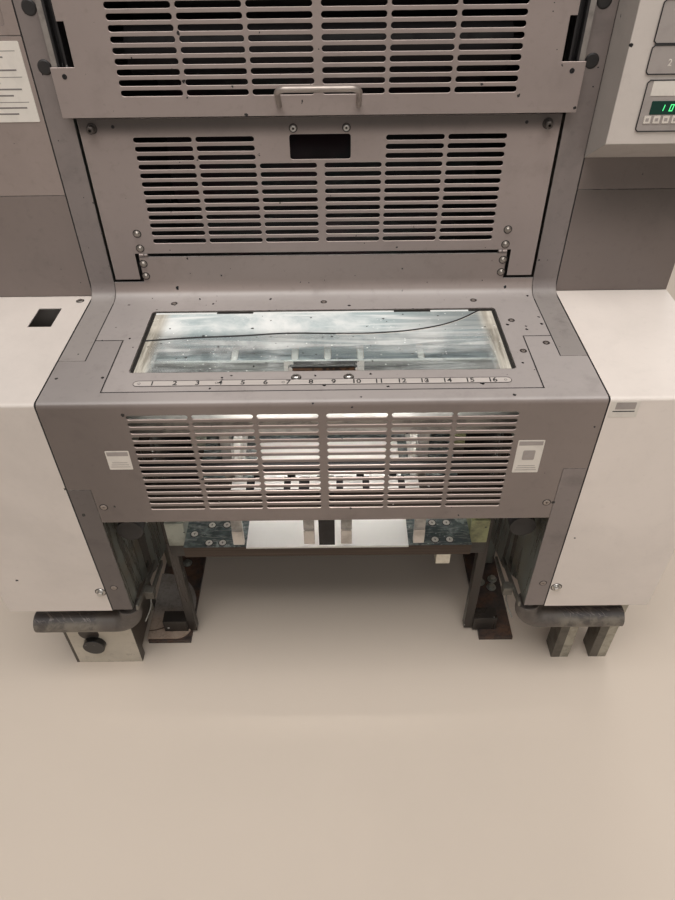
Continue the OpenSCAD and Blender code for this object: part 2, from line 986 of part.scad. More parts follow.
module rear_cover() {
    color(warm_grey)
        wall(unit_end, sheet_t)
            difference() {
                area(-cover_in + seam, cover_in - seam, feeder_h + cover_rise, post_top);
                slot_rows(post_top - vent_drop, vent_rows, [0, 1, 2]);
            }
}

// Air slots through a side cover, in two columns about the middle of a panel
vent_drop = 140;

module side_vents(y, z) {
    along(half_w - sheet_t - 1, sheet_t + 2)
        for (row = [0 : vent_rows - 1])
            for (side = [-1, 1])
                translate([y + side * (slot_l + slot_web) / 2, z + row * slot_pitch]) slot();
}

// Cap over the printing unit with sloped edges
module cap_outline(t) {
    bevel = cap_h / 2;
    low = post_top + seat - t;
    high = machine_h - t;
    y0 = tower_y + t;
    y1 = unit_end + sheet_t - t;
    polygon([
        [y0, low],
        [y0, high - bevel],
        [y0 + bevel, high],
        [y1 - bevel, high],
        [y1, high - bevel],
        [y1, low]
    ]);
}

module top_cover() {
    color(warm_grey)
        difference() {
            along(-half_w, machine_w) cap_outline(0);
            along(-half_w + sheet_t, machine_w - 2 * sheet_t) cap_outline(sheet_t);
        }
}

// A box of sheet metal on the right, open towards the side frame
module side_shell(x0, y0, y1, z0, z1) {
    t = sheet_t;
    difference() {
        box(x0, half_w, y0, y1, z0, z1);
        box(x0 - 1, half_w - t, y0 + t, y1 - t, z0 + t, z1 - t);
    }
}

// Upper side covers, each in two panels
module unit_cover() {
    y0 = tower_y + sheet_t + seat;
    middle = (y0 + unit_end) / 2;
    side_shell(frame_out + seat, y0, middle - seam / 2, deck_h, post_top);
    difference() {
        side_shell(frame_out + seat, middle + seam / 2, unit_end, deck_h, post_top);
        side_vents((middle + unit_end) / 2, post_top - vent_drop);
    }
}

module unit_cover_left() {
    color(warm_grey) mirror([1, 0, 0]) unit_cover();
}

module unit_cover_right() {
    color(warm_grey) unit_cover();
}

// Lower side covers, each in two panels with air slots
module lower_covers() {
    middle = (tower_y + unit_end) / 2;
    color(cabinet_white)
        both() {
            difference() {
                side_shell(frame_out + seat, tower_y, middle - seam / 2, skirt_z, deck_h - seam);
                side_vents((tower_y + middle) / 2, deck_h - vent_drop);
            }
            difference() {
                side_shell(frame_out + seat, middle + seam / 2, unit_end, skirt_z, deck_h - seam);
                side_vents((middle + unit_end) / 2, deck_h - vent_drop);
            }
        }
}

// Outline of a feeder side with a round upper rear corner, inset by t but not at the foot
feeder_r = 120;

module feeder_outline(t) {
    y0 = unit_end + sheet_t + seat + t;
    y1 = rear_y - t;
    z0 = plate_t - t;
    area(y0, y1, z0, feeder_h - feeder_r);
    area(y0, rear_y - feeder_r, z0, feeder_h - t);
    translate([rear_y - feeder_r, feeder_h - feeder_r]) circle(feeder_r - t);
}

// Hollow feeder sides, open at the foot
module feeder_sides() {
    t = 6;
    color(cabinet_white)
        both()
            difference() {
                along(half_gap, feeder_side_w) feeder_outline(0);
                along(half_gap + t, feeder_side_w - 2 * t) feeder_outline(t);
            }
}

// Sloping board that leads the sheets into the printing unit, with its tapes
slope_l = 260;
slope_h = 50;
slope_t = 20;
tape_xs = [-190, -65, 65, 190];
tape_w = 30;
tape_t = 1.5;

// The board's section, drawn as y, z with its lower end at y0 and its top raised by t
module slope(y0, low, t) {
    polygon([
        [y0, low],
        [y0, low + slope_t + t],
        [y0 + slope_l, low + slope_h + slope_t + t],
        [y0 + slope_l, low + slope_h]
    ]);
}

module feed_board() {
    y0 = unit_end + sheet_t + seat + 4;
    low = feeder_h - 110;
    color(steel) {
        along(-half_gap + seat, frame_gap - 2 * seat) slope(y0, low, 0);
        for (x = tape_xs)
            along(x - tape_w / 2, tape_w) slope(y0, low, tape_t);
    }
}

// Suction head over the pile, on a bar across the feeder, with its suckers
feed_low = 300;
feed_y = rear_y - 60 - sheet_l;
feed_top = feed_low + board_t + feed_stack;
head_w = 340;
head_d = 120;
head_h = 80;
sucker_xs = [-140, -50, 50, 140];
sucker_r = 9;
sucker_gap = 6;
hanger_x = 95;
hanger_w = 30;
head_back = 16;
head_rise = 10;
bar_drop = 20;
bar_r = 15;
sucker_in = 14;
cup_h = 14;

module feeder_head() {
    yc = feed_y - head_back;
    z0 = feeder_h + head_rise;
    bar_z = feeder_h - bar_drop;
    sucker_y = feed_y + sucker_in;
    pipe_z = feed_top + sucker_gap + cup_h - eps;
    color(black) {
        box(-head_w / 2, head_w / 2, yc - head_d / 2, yc + head_d / 2, z0, z0 + head_h);
        bar_x(-half_gap + seat, half_gap - seat, yc, bar_z, bar_r);
        for (x = [-hanger_x, hanger_x])
            box(x - hanger_w / 2, x + hanger_w / 2, yc - hanger_w / 2, yc + hanger_w / 2, bar_z, z0);
        for (x = sucker_xs)
            translate([x, sucker_y, 0]) {
                translate([0, 0, feed_top + sucker_gap])
                    cylinder(h = cup_h, r1 = sucker_r + 3, r2 = sucker_r);
                translate([0, 0, pipe_z]) cylinder(h = z0 - pipe_z + eps, r = sucker_r);
            }
    }
}

// Board and sheets in the feeder
feed_lap = 20;
batten = 30;
batten_in = 40;
board_lap = 10;

module feeder_pile_board() {
    x1 = sheet_w / 2 + feed_lap;
    color([0.45, 0.33, 0.22]) {
        box(-x1, x1, feed_y - board_lap, feed_y + sheet_l + board_lap, feed_low, feed_low + board_t);
        for (y = [feed_y + batten_in, feed_y + sheet_l - batten_in - batten])
            box(-half_gap + seat, half_gap - seat, y, y + batten, feed_low - batten, feed_low);
    }
}

module feeder_paper() {
    color([0.93, 0.92, 0.90])
        box(-sheet_w / 2, sheet_w / 2, feed_y, feed_y + sheet_l, feed_low + board_t, feed_top);
}

// Bow that guards the end of the feeder
bow_in = 30;
bow_h = 300;
bow_drop = 150;
bow_r = 12;
bow_x = 200;

module rear_guard() {
    y = rear_y - bow_in;
    high = feeder_h - bow_drop;
    color(black) {
        for (z = [high - bow_h, high])
            bar_x(-half_gap + seat, half_gap - seat, y, z, bow_r);
        for (x = [-bow_x, bow_x])
            translate([x, y, high - bow_h]) cylinder(h = bow_h, r = bow_r - 3);
    }
}

// Hinged middle guard: slotted sheet with a hand hole and hinge leaves
middle_slot_rise = 97;
hand_rise = 241;
guard_in = 5;
leaf_h = 42;

module middle_guard() {
    x = post_in - guard_in;
    slot_z = deck_h + middle_slot_rise;
    hand_z = deck_h + hand_rise;
    low = deck_h + guard_foot;
    edge = axis_z + 3;
    color(warm_grey) {
        wall(tower_y, sheet_t)
            difference() {
                area(-x, x, low, deck_h + guard_top);
                area(-ear_x + 2, ear_x - 2, low - 1, edge);
                slot_rows(slot_z, 10, [0, 1, 2]);
                slot_rows(slot_z + 10 * slot_pitch, 3, [1, 2]);
                round_area(-hand_w / 2, hand_w / 2, hand_z - hand_h / 2,
                    hand_z + hand_h / 2, 4);
            }
        both() middle_leaf(edge);
    }
}

module middle_leaf(edge) {
    leaf_y = tower_y + sheet_t;
    box(hinge_x - hinge_w / 2, hinge_x + hinge_w / 2, leaf_y, leaf_y + leaf_t, edge, edge + leaf_h);
    bar_x(hinge_x, hinge_x + hinge_w / 2, axis_y, axis_z, knuckle_d / 2);
    box(hinge_x, hinge_x + hinge_w / 2, axis_y, leaf_y + leaf_t, axis_z + 2, edge + 1);
}

// Sliding upper guard: slotted sheet with side notches and slide blocks
lift_y = tower_y - guard_out;
lift_slot_z = 31;

module upper_guard() {
    z0 = deck_h + lift_z;
    notch_x = lift_w / 2 - lift_notch;
    color(warm_grey) {
        wall(lift_y, sheet_t)
            difference() {
                union() {
                    area(-lift_w / 2, lift_w / 2, z0, z0 + lift_step);
                    area(-notch_x, notch_x, z0, z0 + lift_h);
                    area(-rail_x + 1, rail_x - 1, z0 + lift_step + lift_notch_h, z0 + lift_h);
                }
                slot_rows(z0 + lift_slot_z, lift_rows, [0, 1, 2]);
            }
        both() {
            slide_block(z0 + block_low, rail_x + groove_in + run);
            slide_block(z0 + block_high, rail_x - 7);
        }
    }
}

// Block on the guard's back that runs in the rail's groove
module slide_block(z, x_in) {
    x0 = rail_x + groove_in + run;
    x1 = rail_x + groove_in + groove_w - run;
    y0 = lift_y + sheet_t;
    rail_face = tower_y - rail_out;
    box(x_in, x1, y0, rail_face - run, z, z + block_h);
    box(x0, x1, y0, rail_face + groove_d - 3, z, z + block_h);
}

// Bow handle of the upper guard, sloping upwards out of the sheet
handle_rise = 12;
handle_z = deck_h + lift_z + handle_rise;
handle_bend = 12;
handle_foot = 4;

module guard_handle() {
    r = rod_d / 2;
    bow = handle_bend;
    straight = handle_out - bow;
    color(steel)
        translate([0, lift_y, handle_z])
            rotate([90 - handle_tilt, 0, 0])
                both() {
                    translate([handle_w / 2, 0, handle_foot])
                        cylinder(h = straight - handle_foot, r = r);
                    translate([handle_w / 2 - bow, 0, straight])
                        rotate([90, 0, 0])
                            rotate_extrude(angle = 90) translate([bow, 0]) circle(r);
                    translate([0, 0, straight + bow])
                        rotate([0, 90, 0]) cylinder(h = handle_w / 2 - bow, r = r);
                }
}

// Board of the delivery pile
module pile_board() {
    color([0.30, 0.27, 0.24])
        box(-board_w / 2, board_w / 2, front_y + board_y, front_y + board_y + board_d,
            board_low, board_top);
}

// Cross beams under the board and the shoes that run on the lift rails
beam = 30;
shoe_lap = 7;
shoe_w = 44;
shoe_rise = 34;
pad_x = 203;
pad_size = [26, 24, 26];

module pile_carriers() {
    x1 = board_w / 2 + seat;
    shoe = rail_in + shoe_lap;
    top = board_top + shoe_rise;
    reach = rail_w / 2 + run;
    color(steel) {
        for (y = rail_ys) {
            yc = front_y + board_y + y;
            box(-x1, x1, yc - beam / 2, yc + beam / 2, board_low - beam, board_low);
            both()
                difference() {
                    box(x1, shoe, yc - shoe_w / 2, yc + shoe_w / 2, board_low - beam, top);
                    box(rail_in - run, shoe + 1, yc - reach, yc + reach,
                        board_low - beam - 1, top + 1);
                }
        }
        translate([pad_x, front_y + board_y, board_low - pad_size[2]]) cube(pad_size);
    }
}

// Sheets on the delivery pile
sheet_over = 4;

module paper_stack() {
    y0 = front_y + board_y - sheet_over;
    color([0.93, 0.92, 0.90])
        box(-paper_w / 2, paper_w / 2, y0, y0 + paper_l, board_top, board_top + paper_t);
}

front_guard();
leg_strips();
window_panel();
window_pane();
zone_strip();
post_fairings();
post_plugs();
delivery_cabinet_left();
delivery_cabinet_right();
foot_tubes();
cabinet_foot_left();
cabinet_legs_right();
floor_plates();
side_frame_left();
side_frame_right();
sheet_stops();
sheet_guide_plate();
sheet_brake();
tie_bars();
lift_rails();
jogger_knobs();
tower_panels();
control_box();
control_panel();
control_keys();
guard_rails();
printing_cylinders();
impression_cylinder();
ink_rollers();
front_cover();
rear_cover();
top_cover();
unit_cover_left();
unit_cover_right();
lower_covers();
feeder_sides();
feed_board();
feeder_head();
feeder_pile_board();
feeder_paper();
rear_guard();
middle_guard();
upper_guard();
guard_handle();
pile_board();
pile_carriers();
paper_stack();
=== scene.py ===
"""Finishes a small offset printing press: paint, metal, screws, ink scale, display and marks."""
import math

import bmesh
import bpy
from bpy.props import FloatProperty, FloatVectorProperty, IntProperty, PointerProperty
from mathutils import Matrix, Vector


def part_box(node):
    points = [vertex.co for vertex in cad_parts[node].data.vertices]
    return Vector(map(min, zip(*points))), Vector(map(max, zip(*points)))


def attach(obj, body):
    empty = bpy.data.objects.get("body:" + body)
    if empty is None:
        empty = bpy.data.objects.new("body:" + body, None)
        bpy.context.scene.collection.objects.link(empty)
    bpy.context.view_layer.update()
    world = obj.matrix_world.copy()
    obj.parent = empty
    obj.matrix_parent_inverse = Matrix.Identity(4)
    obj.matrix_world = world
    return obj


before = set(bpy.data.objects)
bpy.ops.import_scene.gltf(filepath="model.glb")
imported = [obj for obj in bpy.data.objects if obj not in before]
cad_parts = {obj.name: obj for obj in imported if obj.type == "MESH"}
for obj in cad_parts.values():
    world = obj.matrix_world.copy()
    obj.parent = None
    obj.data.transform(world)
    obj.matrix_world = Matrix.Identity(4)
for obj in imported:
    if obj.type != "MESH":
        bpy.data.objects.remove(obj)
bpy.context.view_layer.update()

bl_info = {
    "name": "Printing Press Finish",
    "version": (1, 0, 0),
    "blender": (4, 5, 0),
    "location": "View3D > Sidebar > Press",
    "description": "Paints a small offset press and adds its screws, ink scale, display and marks",
    "category": "Object",
}

# Planes of the frame that the fittings sit on
FACE_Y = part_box("front_guard")[0].y
DECK_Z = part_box("front_guard")[1].z
TOWER_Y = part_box("tower_panels")[0].y
TOWER_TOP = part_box("tower_panels")[1].z
TOWER_DEPTH = TOWER_Y - FACE_Y
PANEL_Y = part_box("control_panel")[0].y
STRIP_LOW, STRIP_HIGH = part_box("zone_strip")

# Dark bands along the top of the stops' rail, from X to X
RAIL_DARK_BANDS = (
    (-0.126, -0.113), (-0.066, -0.055), (-0.042, -0.025), (0.018, 0.029), (0.060, 0.071), (0.117, 0.128),
)

FORWARD = Vector((0, -1, 0))
UP = Vector((0, 0, 1))
PRINT_THICK = 0.0001
STICKER_THICK = 0.0003
PLATE_THICK = 0.0004
DARK_GRIME_AND_SHADE = (0.045, 0.036, 0.030)
BACKDROP = (0.88, 0.86, 0.83, 1)
INK_AND_SHADE = (0.012, 0.011, 0.012)
RUST = (0.110, 0.045, 0.020)
BARE_STEEL = (0.46, 0.44, 0.41)
DUST_AND_TOP_LIGHT = (0.400, 0.360, 0.345)


def colour(label, text, default):
    """A colour that the user can change."""
    return FloatVectorProperty(
        name=label, description=text, subtype="COLOR", size=3, min=0, max=1, default=default
    )


def length(label, text, default, low, high):
    """A length in metres that the user can change."""
    return FloatProperty(
        name=label, description=text, default=default, min=low, max=high, unit="LENGTH", precision=4
    )


def power(label, text, default, most=400):
    """A lamp's power that the user can change."""
    return FloatProperty(name=label, description=text, default=default, min=0, max=most, unit="POWER")


class PressColours(bpy.types.PropertyGroup):
    """Colours of the press's paints."""

    guard: colour("Delivery", "Paint of the front guard and the deck", (0.227, 0.185, 0.167))
    lift: colour("Tower guards", "Paint of the guards and covers on the tower", (0.312, 0.256, 0.236))
    post: colour("Posts", "Paint of the post fairings and leg strips", (0.211, 0.178, 0.167))
    tower: colour("Tower", "Paint of the tower's panels", (0.287, 0.232, 0.209))
    cabinet: colour("Cabinets", "Paint of the cabinets and side covers", (0.775, 0.700, 0.645))
    casting: colour("Side frames", "Paint of the cast side frames", (0.150, 0.165, 0.148))
    foot: colour("Foot", "Paint of the machine foot", (0.530, 0.480, 0.400))


class PressFittings(bpy.types.PropertyGroup):
    """Sizes of the press's screws, numbers and plates."""

    screw: length("Screw head", "Diameter of a button head on the guards", 0.0095, 0.005, 0.016)
    rivet: length("Rivet head", "Diameter of a rivet on the hinges", 0.0085, 0.004, 0.012)
    zone: length("Ink zone", "Distance from one ink zone to the next", 0.0325, 0.025, 0.034)
    zones: IntProperty(
        name="Ink zones", description="How many ink zones the scale has", default=16, min=4, max=16
    )
    numeral: length("Numeral", "Size of the scale's numerals", 0.0137, 0.004, 0.015)
    digit: length("Digit", "Height of the display's digits", 0.0076, 0.005, 0.012)


class PressStage(bpy.types.PropertyGroup):
    """Camera, lamps and floor."""

    lens: FloatProperty(
        name="Lens", description="Focal length", default=26.9, min=18, max=80, unit="CAMERA"
    )
    overhead: power("Overhead", "Lamp over the delivery", 96)
    front: power("Front", "Lamp high in front", 26)
    fill: power("Fill", "Low lamp in front", 14)
    bay: power("Bay", "Lamps under the deck", 1.2, 10)
    back: power("Back", "Lamp over the feeder", 60)
    floor: colour("Floor", "Colour of the plain floor", (0.640, 0.550, 0.465))


def spot(x, depth, rise):
    """A point given from the delivery's face and its deck."""
    return Vector((x, FACE_Y + depth, DECK_Z + rise))


def pair(x, depth, rise):
    """Two such points, on the left and on the right."""
    return [spot(-x, depth, rise), spot(x, depth, rise)]


def facing(point, direction):
    """The place of a fitting whose own Z points along direction."""
    return Matrix.Translation(point) @ direction.to_track_quat("Z", "Y").to_matrix().to_4x4()


def standing(point):
    """The place of a flat drawing that stands upright and is read from the front."""
    return Matrix.Translation(point) @ Matrix.Rotation(math.radians(90), 4, "X")


# Shader nodes


def add(tree, kind, inputs=None, **settings):
    """Adds a node, with its settings, and its inputs as values or as what feeds them."""
    made = tree.nodes.new(kind)
    for key, value in settings.items():
        setattr(made, key, value)
    for key, value in (inputs or {}).items():
        value = getattr(value, "socket", value)
        if isinstance(value, bpy.types.NodeSocket):
            tree.links.new(value, made.inputs[key])
        else:
            made.inputs[key].default_value = value
    return made


class Field:
    """A number that changes over the surface, with the usual sums."""

    def __init__(self, tree, socket):
        self.tree, self.socket = tree, socket

    def sum(self, operation, *others):
        """One sum on this number."""
        inputs = dict(enumerate([self, *others]))
        return Field(self.tree, add(self.tree, "ShaderNodeMath", inputs, operation=operation).outputs[0])

    def __add__(self, other):
        return self.sum("ADD", other)

    def __sub__(self, other):
        return self.sum("SUBTRACT", other)

    def __mul__(self, other):
        return self.sum("MULTIPLY", other)

    def __or__(self, other):
        return self.sum("MAXIMUM", other)

    def __lt__(self, limit):
        return self.sum("LESS_THAN", limit)

    def __gt__(self, limit):
        return self.sum("GREATER_THAN", limit)

    def __abs__(self):
        return self.sum("ABSOLUTE")

    def __invert__(self):
        return self * -1.0 + 1.0

    def ramp(self, low, high):
        """Spreads the values from low to high smoothly over 0 to 1."""
        inputs = {0: self, 1: low, 2: high}
        made = add(self.tree, "ShaderNodeMapRange", inputs, interpolation_type="SMOOTHSTEP")
        return Field(self.tree, made.outputs[0])

    def between(self, low, high):
        """A number that goes from low to high with this one."""
        return Field(self.tree, add(self.tree, "ShaderNodeMix", {0: self, 2: low, 3: high}).outputs[0])


def product(fields):
    """Where every mask holds."""
    return math.prod(fields[1:], start=fields[0])


def full(value):
    """A colour of three numbers with full alpha, or a socket as it is."""
    return value if isinstance(value, bpy.types.NodeSocket) else (*value[:3], 1)


def shade(rgb, factor):
    """A darker or lighter tone of a colour."""
    return [channel * factor for channel in rgb[:3]]


def blend(tree, share, low, high, how="MIX"):
    """Mixes two colours."""
    inputs = {0: share, 6: full(low), 7: full(high)}
    return add(tree, "ShaderNodeMix", inputs, data_type="RGBA", blend_type=how).outputs[2]


def noise(tree, where, scale, detail, **more):
    """Plain noise as a number."""
    inputs = {"Vector": where, "Scale": scale, "Detail": detail, **more}
    return Field(tree, add(tree, "ShaderNodeTexNoise", inputs).outputs["Fac"])


def swap_shader(tree, light_path, usual, other, end="Material Output"):
    """Puts the other shader in place of the usual one for a share or a kind of light path."""
    if isinstance(light_path, str):
        light_path = add(tree, "ShaderNodeLightPath").outputs[light_path]
    both = add(tree, "ShaderNodeMixShader", {0: light_path, 1: usual.outputs[0], 2: other.outputs[0]})
    tree.links.new(both.outputs[0], tree.nodes[end].inputs["Surface"])


def new_group(name, outputs, **inputs):
    """An empty shader node group and the sockets of its two ends. An input of None is a vector."""
    tree = bpy.data.node_groups.new(name, "ShaderNodeTree")
    for label, default in {"Vector": None, **inputs}.items():
        kind = "NodeSocketVector" if default is None else "NodeSocketFloat"
        socket = tree.interface.new_socket(label, in_out="INPUT", socket_type=kind)
        if default is not None:
            socket.default_value = default
    for label in outputs:
        kind = "NodeSocketVector" if label == "Normal" else "NodeSocketFloat"
        tree.interface.new_socket(label, in_out="OUTPUT", socket_type=kind)
    given = tree.nodes.new("NodeGroupInput").outputs
    return tree, given, tree.nodes.new("NodeGroupOutput").inputs


def put_out(tree, ends, **values):
    """Joins what a group has made to its outputs."""
    for label, value in values.items():
        tree.links.new(getattr(value, "socket", value), ends[label])
    return tree


def soiling_group():
    """Soft blotches with a fine ragged edge."""
    tree, given, ends = new_group("soiling", ["Mask"], Scale=8.0, Low=0.45, High=0.75)
    cloud = noise(tree, given["Vector"], given["Scale"], 7.0, Roughness=0.62, Distortion=0.3)
    return put_out(tree, ends, Mask=cloud.ramp(given["Low"], given["High"]))


def specks_group():
    """Small uneven splashes at a share of scattered points."""
    tree, given, ends = new_group("specks", ["Mask"], Scale=60.0, Share=0.05, Size=0.25)
    cells = add(tree, "ShaderNodeTexVoronoi", {"Vector": given["Vector"], "Scale": given["Scale"]})
    parts = add(tree, "ShaderNodeSeparateColor", {"Color": cells.outputs["Color"]})
    red, green = [Field(tree, parts.outputs[name]) for name in ("Red", "Green")]
    reach = Field(tree, cells.outputs["Distance"]) + noise(tree, given["Vector"], 330.0, 2.0) * 0.30
    near = reach < green * given["Size"] + 0.18
    return put_out(tree, ends, Mask=near * (red < given["Share"]))


def worn_edges_group():
    """Rounded edges for the light, and masks of where they lie and where they are rubbed."""
    tree, given, ends = new_group("worn_edges", ["Edge", "Chips", "Normal"], Width=0.0012, Low=0.4, High=0.62)
    rounded = add(tree, "ShaderNodeBevel", {"Radius": given["Width"]}, samples=6).outputs["Normal"]
    plain = add(tree, "ShaderNodeNewGeometry").outputs["Normal"]
    turned = add(tree, "ShaderNodeVectorMath", {0: rounded, 1: plain}, operation="DOT_PRODUCT")
    edge = Field(tree, turned.outputs["Value"]).ramp(0.985, 0.86)
    rubbed = noise(tree, given["Vector"], 90.0, 5.0).ramp(given["Low"], given["High"])
    return put_out(tree, ends, Edge=edge, Chips=edge * rubbed, Normal=rounded)


def scratches_group():
    """Thin straight marks along the first axis of the coordinates."""
    tree, given, ends = new_group("scratches", ["Mask"], Scale=4.0, Fine=60.0, Share=0.05)
    across = add(tree, "ShaderNodeCombineXYZ", {"X": given["Scale"], "Y": given["Fine"], "Z": given["Fine"]})
    thin = add(tree, "ShaderNodeVectorMath", {0: given["Vector"], 1: across.outputs[0]}, operation="MULTIPLY")
    line = abs(noise(tree, thin.outputs[0], 1.0, 3.0, Roughness=0.7) - 0.5)
    return put_out(tree, ends, Mask=line.ramp(given["Share"], 0.0))


def fine_bump_group():
    """The skin of a paint, casting or plastic as a normal."""
    tree, given, ends = new_group(
        "fine_bump", ["Normal"], Scale=600.0, Height=0.0001, Strength=0.3, Normal=None
    )
    inputs = {"Strength": given["Strength"], "Distance": given["Height"], "Normal": given["Normal"]}
    inputs["Height"] = noise(tree, given["Vector"], given["Scale"], 3.0)
    return put_out(tree, ends, Normal=add(tree, "ShaderNodeBump", inputs).outputs["Normal"])


GROUPS = {
    "soiling": soiling_group,
    "specks": specks_group,
    "worn_edges": worn_edges_group,
    "scratches": scratches_group,
    "fine_bump": fine_bump_group,
}


class Finish:
    """A material in the making: its nodes, its coordinates, its colour so far and its shader."""

    def __init__(self, name, roughness=0.5, metallic=0.0):
        self.material = bpy.data.materials.new(name)
        self.material.use_nodes = True
        self.tree = self.material.node_tree
        self.shader = self.tree.nodes["Principled BSDF"]
        self.feed("Roughness", roughness)
        self.feed("Metallic", metallic)
        coordinates = self.tree.nodes.new("ShaderNodeTexCoord")
        self.where = coordinates.outputs["Object"]
        self.outward = coordinates.outputs["Normal"]
        self.x, self.y, self.z = self.parts(self.where)
        self.rounded = {}
        self.body = None

    def parts(self, vector):
        """A vector's three numbers."""
        made = add(self.tree, "ShaderNodeSeparateXYZ", {0: vector})
        return [Field(self.tree, made.outputs[axis]) for axis in "XYZ"]

    def feed(self, socket, value):
        """Joins a number or colour to the shader, or sets the shader's own value."""
        value = getattr(value, "socket", value)
        if isinstance(value, bpy.types.NodeSocket):
            self.tree.links.new(value, self.shader.inputs[socket])
        else:
            self.shader.inputs[socket].default_value = value

    def upward(self):
        """How far the surface faces up, from 0 to 1."""
        return self.parts(self.outward)[2].ramp(0.55, 0.9)

    def region(self, **limits):
        """A mask of the space between limits for x, y, z or side, the distance from the middle plane."""
        masks = []
        for axis, (low, high) in limits.items():
            place = abs(self.x) if axis == "side" else getattr(self, axis)
            if low is not None:
                masks.append(place > low)
            if high is not None:
                masks.append(place < high)
        return product(masks)

    def distance(self, point):
        """The distance from a point."""
        made = add(self.tree, "ShaderNodeVectorMath", {0: self.where, 1: point}, operation="DISTANCE")
        return Field(self.tree, made.outputs["Value"])

    def coordinates(self, scale, turn=0.0):
        """The coordinates and the scale of a pattern, stretched along the axes or turned about Z."""
        if not turn and not isinstance(scale, tuple):
            return self.where, scale
        stretch, scale = (scale, 1.0) if isinstance(scale, tuple) else ((1, 1, 1), scale)
        inputs = {"Vector": self.where, "Scale": stretch, "Rotation": (0, 0, turn)}
        return add(self.tree, "ShaderNodeMapping", inputs).outputs[0], scale

    def effect(self, name, where=None, **inputs):
        """Places a shared effect in the material, with its own values."""
        group = bpy.data.node_groups.get(name) or GROUPS[name]()
        inputs["Vector"] = where or self.where
        return add(self.tree, "ShaderNodeGroup", inputs, node_tree=group).outputs

    def soiling(self, scale, low, high):
        """A mask of soft blotches. Three numbers as the scale stretch them."""
        where, scale = self.coordinates(scale)
        return Field(self.tree, self.effect("soiling", where, Scale=scale, Low=low, High=high)["Mask"])

    def specks(self, scale, share, size, turn=0.0):
        """A mask of small splashes."""
        where, scale = self.coordinates(scale, turn)
        return Field(self.tree, self.effect("specks", where, Scale=scale, Share=share, Size=size)["Mask"])

    def scratches(self, scale, fine, share, turn=0.0):
        """A mask of thin marks."""
        where, scale = self.coordinates(scale, turn)
        return Field(self.tree, self.effect("scratches", where, Scale=scale, Fine=fine, Share=share)["Mask"])

    def noise(self, stretch, detail, **more):
        """Noise that is stretched along the axes."""
        return noise(self.tree, *self.coordinates(stretch), detail, **more)

    def rim(self, width, low=0.3, high=0.6):
        """Masks of the edges and of their chips. What is bumped later takes up the rounded edges."""
        made = self.effect("worn_edges", Width=width, Low=low, High=high)
        self.rounded = {"Normal": made["Normal"]}
        return Field(self.tree, made["Edge"]), Field(self.tree, made["Chips"])

    def skin(self, scale, height, strength, width=None):
        """A fine bump all over, on edges rounded to a width where one is given."""
        if width:
            self.rim(width)
        made = self.effect("fine_bump", Scale=scale, Height=height, Strength=strength, **self.rounded)
        self.feed("Normal", made["Normal"])

    def bump(self, height, distance, strength):
        """Raises the surface by a number."""
        inputs = {"Strength": strength, "Distance": distance, "Height": height, **self.rounded}
        self.feed("Normal", add(self.tree, "ShaderNodeBump", inputs).outputs["Normal"])

    def rough(self, share, low, high):
        """Roughness from low to high with a mask."""
        self.feed("Roughness", share.between(low, min(high, 1.0)))

    def blend(self, share, low, high):
        """A colour from low to high with a mask."""
        return blend(self.tree, share, low, high)

    def lay(self, share, colour, strength=1.0, how="MIX"):
        """Lays a colour over the colour so far where a mask holds."""
        if strength != 1.0:
            share = share * strength
        self.body = blend(self.tree, share, self.body, colour, how)

    def done(self):
        """Feeds the colour to the shader and hands over the material."""
        self.feed("Base Color", self.body)
        return self.material


def painted(
    name, rgb, dirt=0.28, specks=0.02, chips=0.3, roughness=0.42, seams=0.35, dust_and_top_light=None, cut=0.0,
    fades=(), joint=None, rim_width=0.0013,
):
    """Machine paint: uneven tone, hand marks, ink specks, seams and rubbed edges, with a painted highlight on
    slot edges.

    dust_and_top_light is the tone of what faces up, partly dust and partly a painted top light. Each fade is
    a factor and the axes with the two places it grows between. Beside the delivery, what is nearer to the
    middle plane than joint is a black joint.
    """
    made = Finish(name)
    tone = made.soiling(2.1, 0.36, 0.68)
    cloud = made.soiling(15.0, 0.50, 0.80)
    dots = made.specks(75.0, specks, 0.20)
    edge, chipped = made.rim(rim_width, 0.45, 0.62)
    made.body = made.blend(tone, shade(rgb, 1.04), shade(rgb, 0.90))
    # What faces up takes a lighter tone: dust and a painted top light
    if dust_and_top_light:
        made.lay(made.upward(), made.blend(tone, shade(dust_and_top_light, 1.04), shade(dust_and_top_light, 0.93)))
    made.lay(cloud, shade(rgb, 0.45), dirt)
    made.lay(made.soiling(85.0, 0.54, 0.80), DARK_GRIME_AND_SHADE, dirt * 0.6)
    for factor, *limits in fades:
        reach = product([getattr(made, axis).ramp(start, end) for axis, start, end in limits])
        made.lay(reach, (factor, factor, factor), how="MULTIPLY")
    # Dark seams along the edges; with cut, pale rims round the slots, partly worn paint and partly a painted
    # highlight
    made.lay(edge, shade(rgb, 1.75 if cut else 0.25), seams)
    made.lay(chipped, BARE_STEEL, chips)
    # Painted highlight: the slots' upward cut edges lightened by the factor cut, away from the deck
    if cut:
        lit_cut_faces = made.upward()
        if dust_and_top_light:
            lit_cut_faces = lit_cut_faces * made.region(z=(None, DECK_Z - 0.012))
        made.lay(lit_cut_faces, shade(rgb, cut))
    made.lay(dots, INK_AND_SHADE)
    if joint:
        made.lay(made.region(side=(None, joint), y=(None, TOWER_Y + 0.003), z=(None, TOWER_TOP)), INK_AND_SHADE)
    made.rough(dots * 0.8, cloud.between(roughness, roughness + 0.16), 0.25)
    made.skin(650.0, 0.0002, 0.25)
    return made.done()


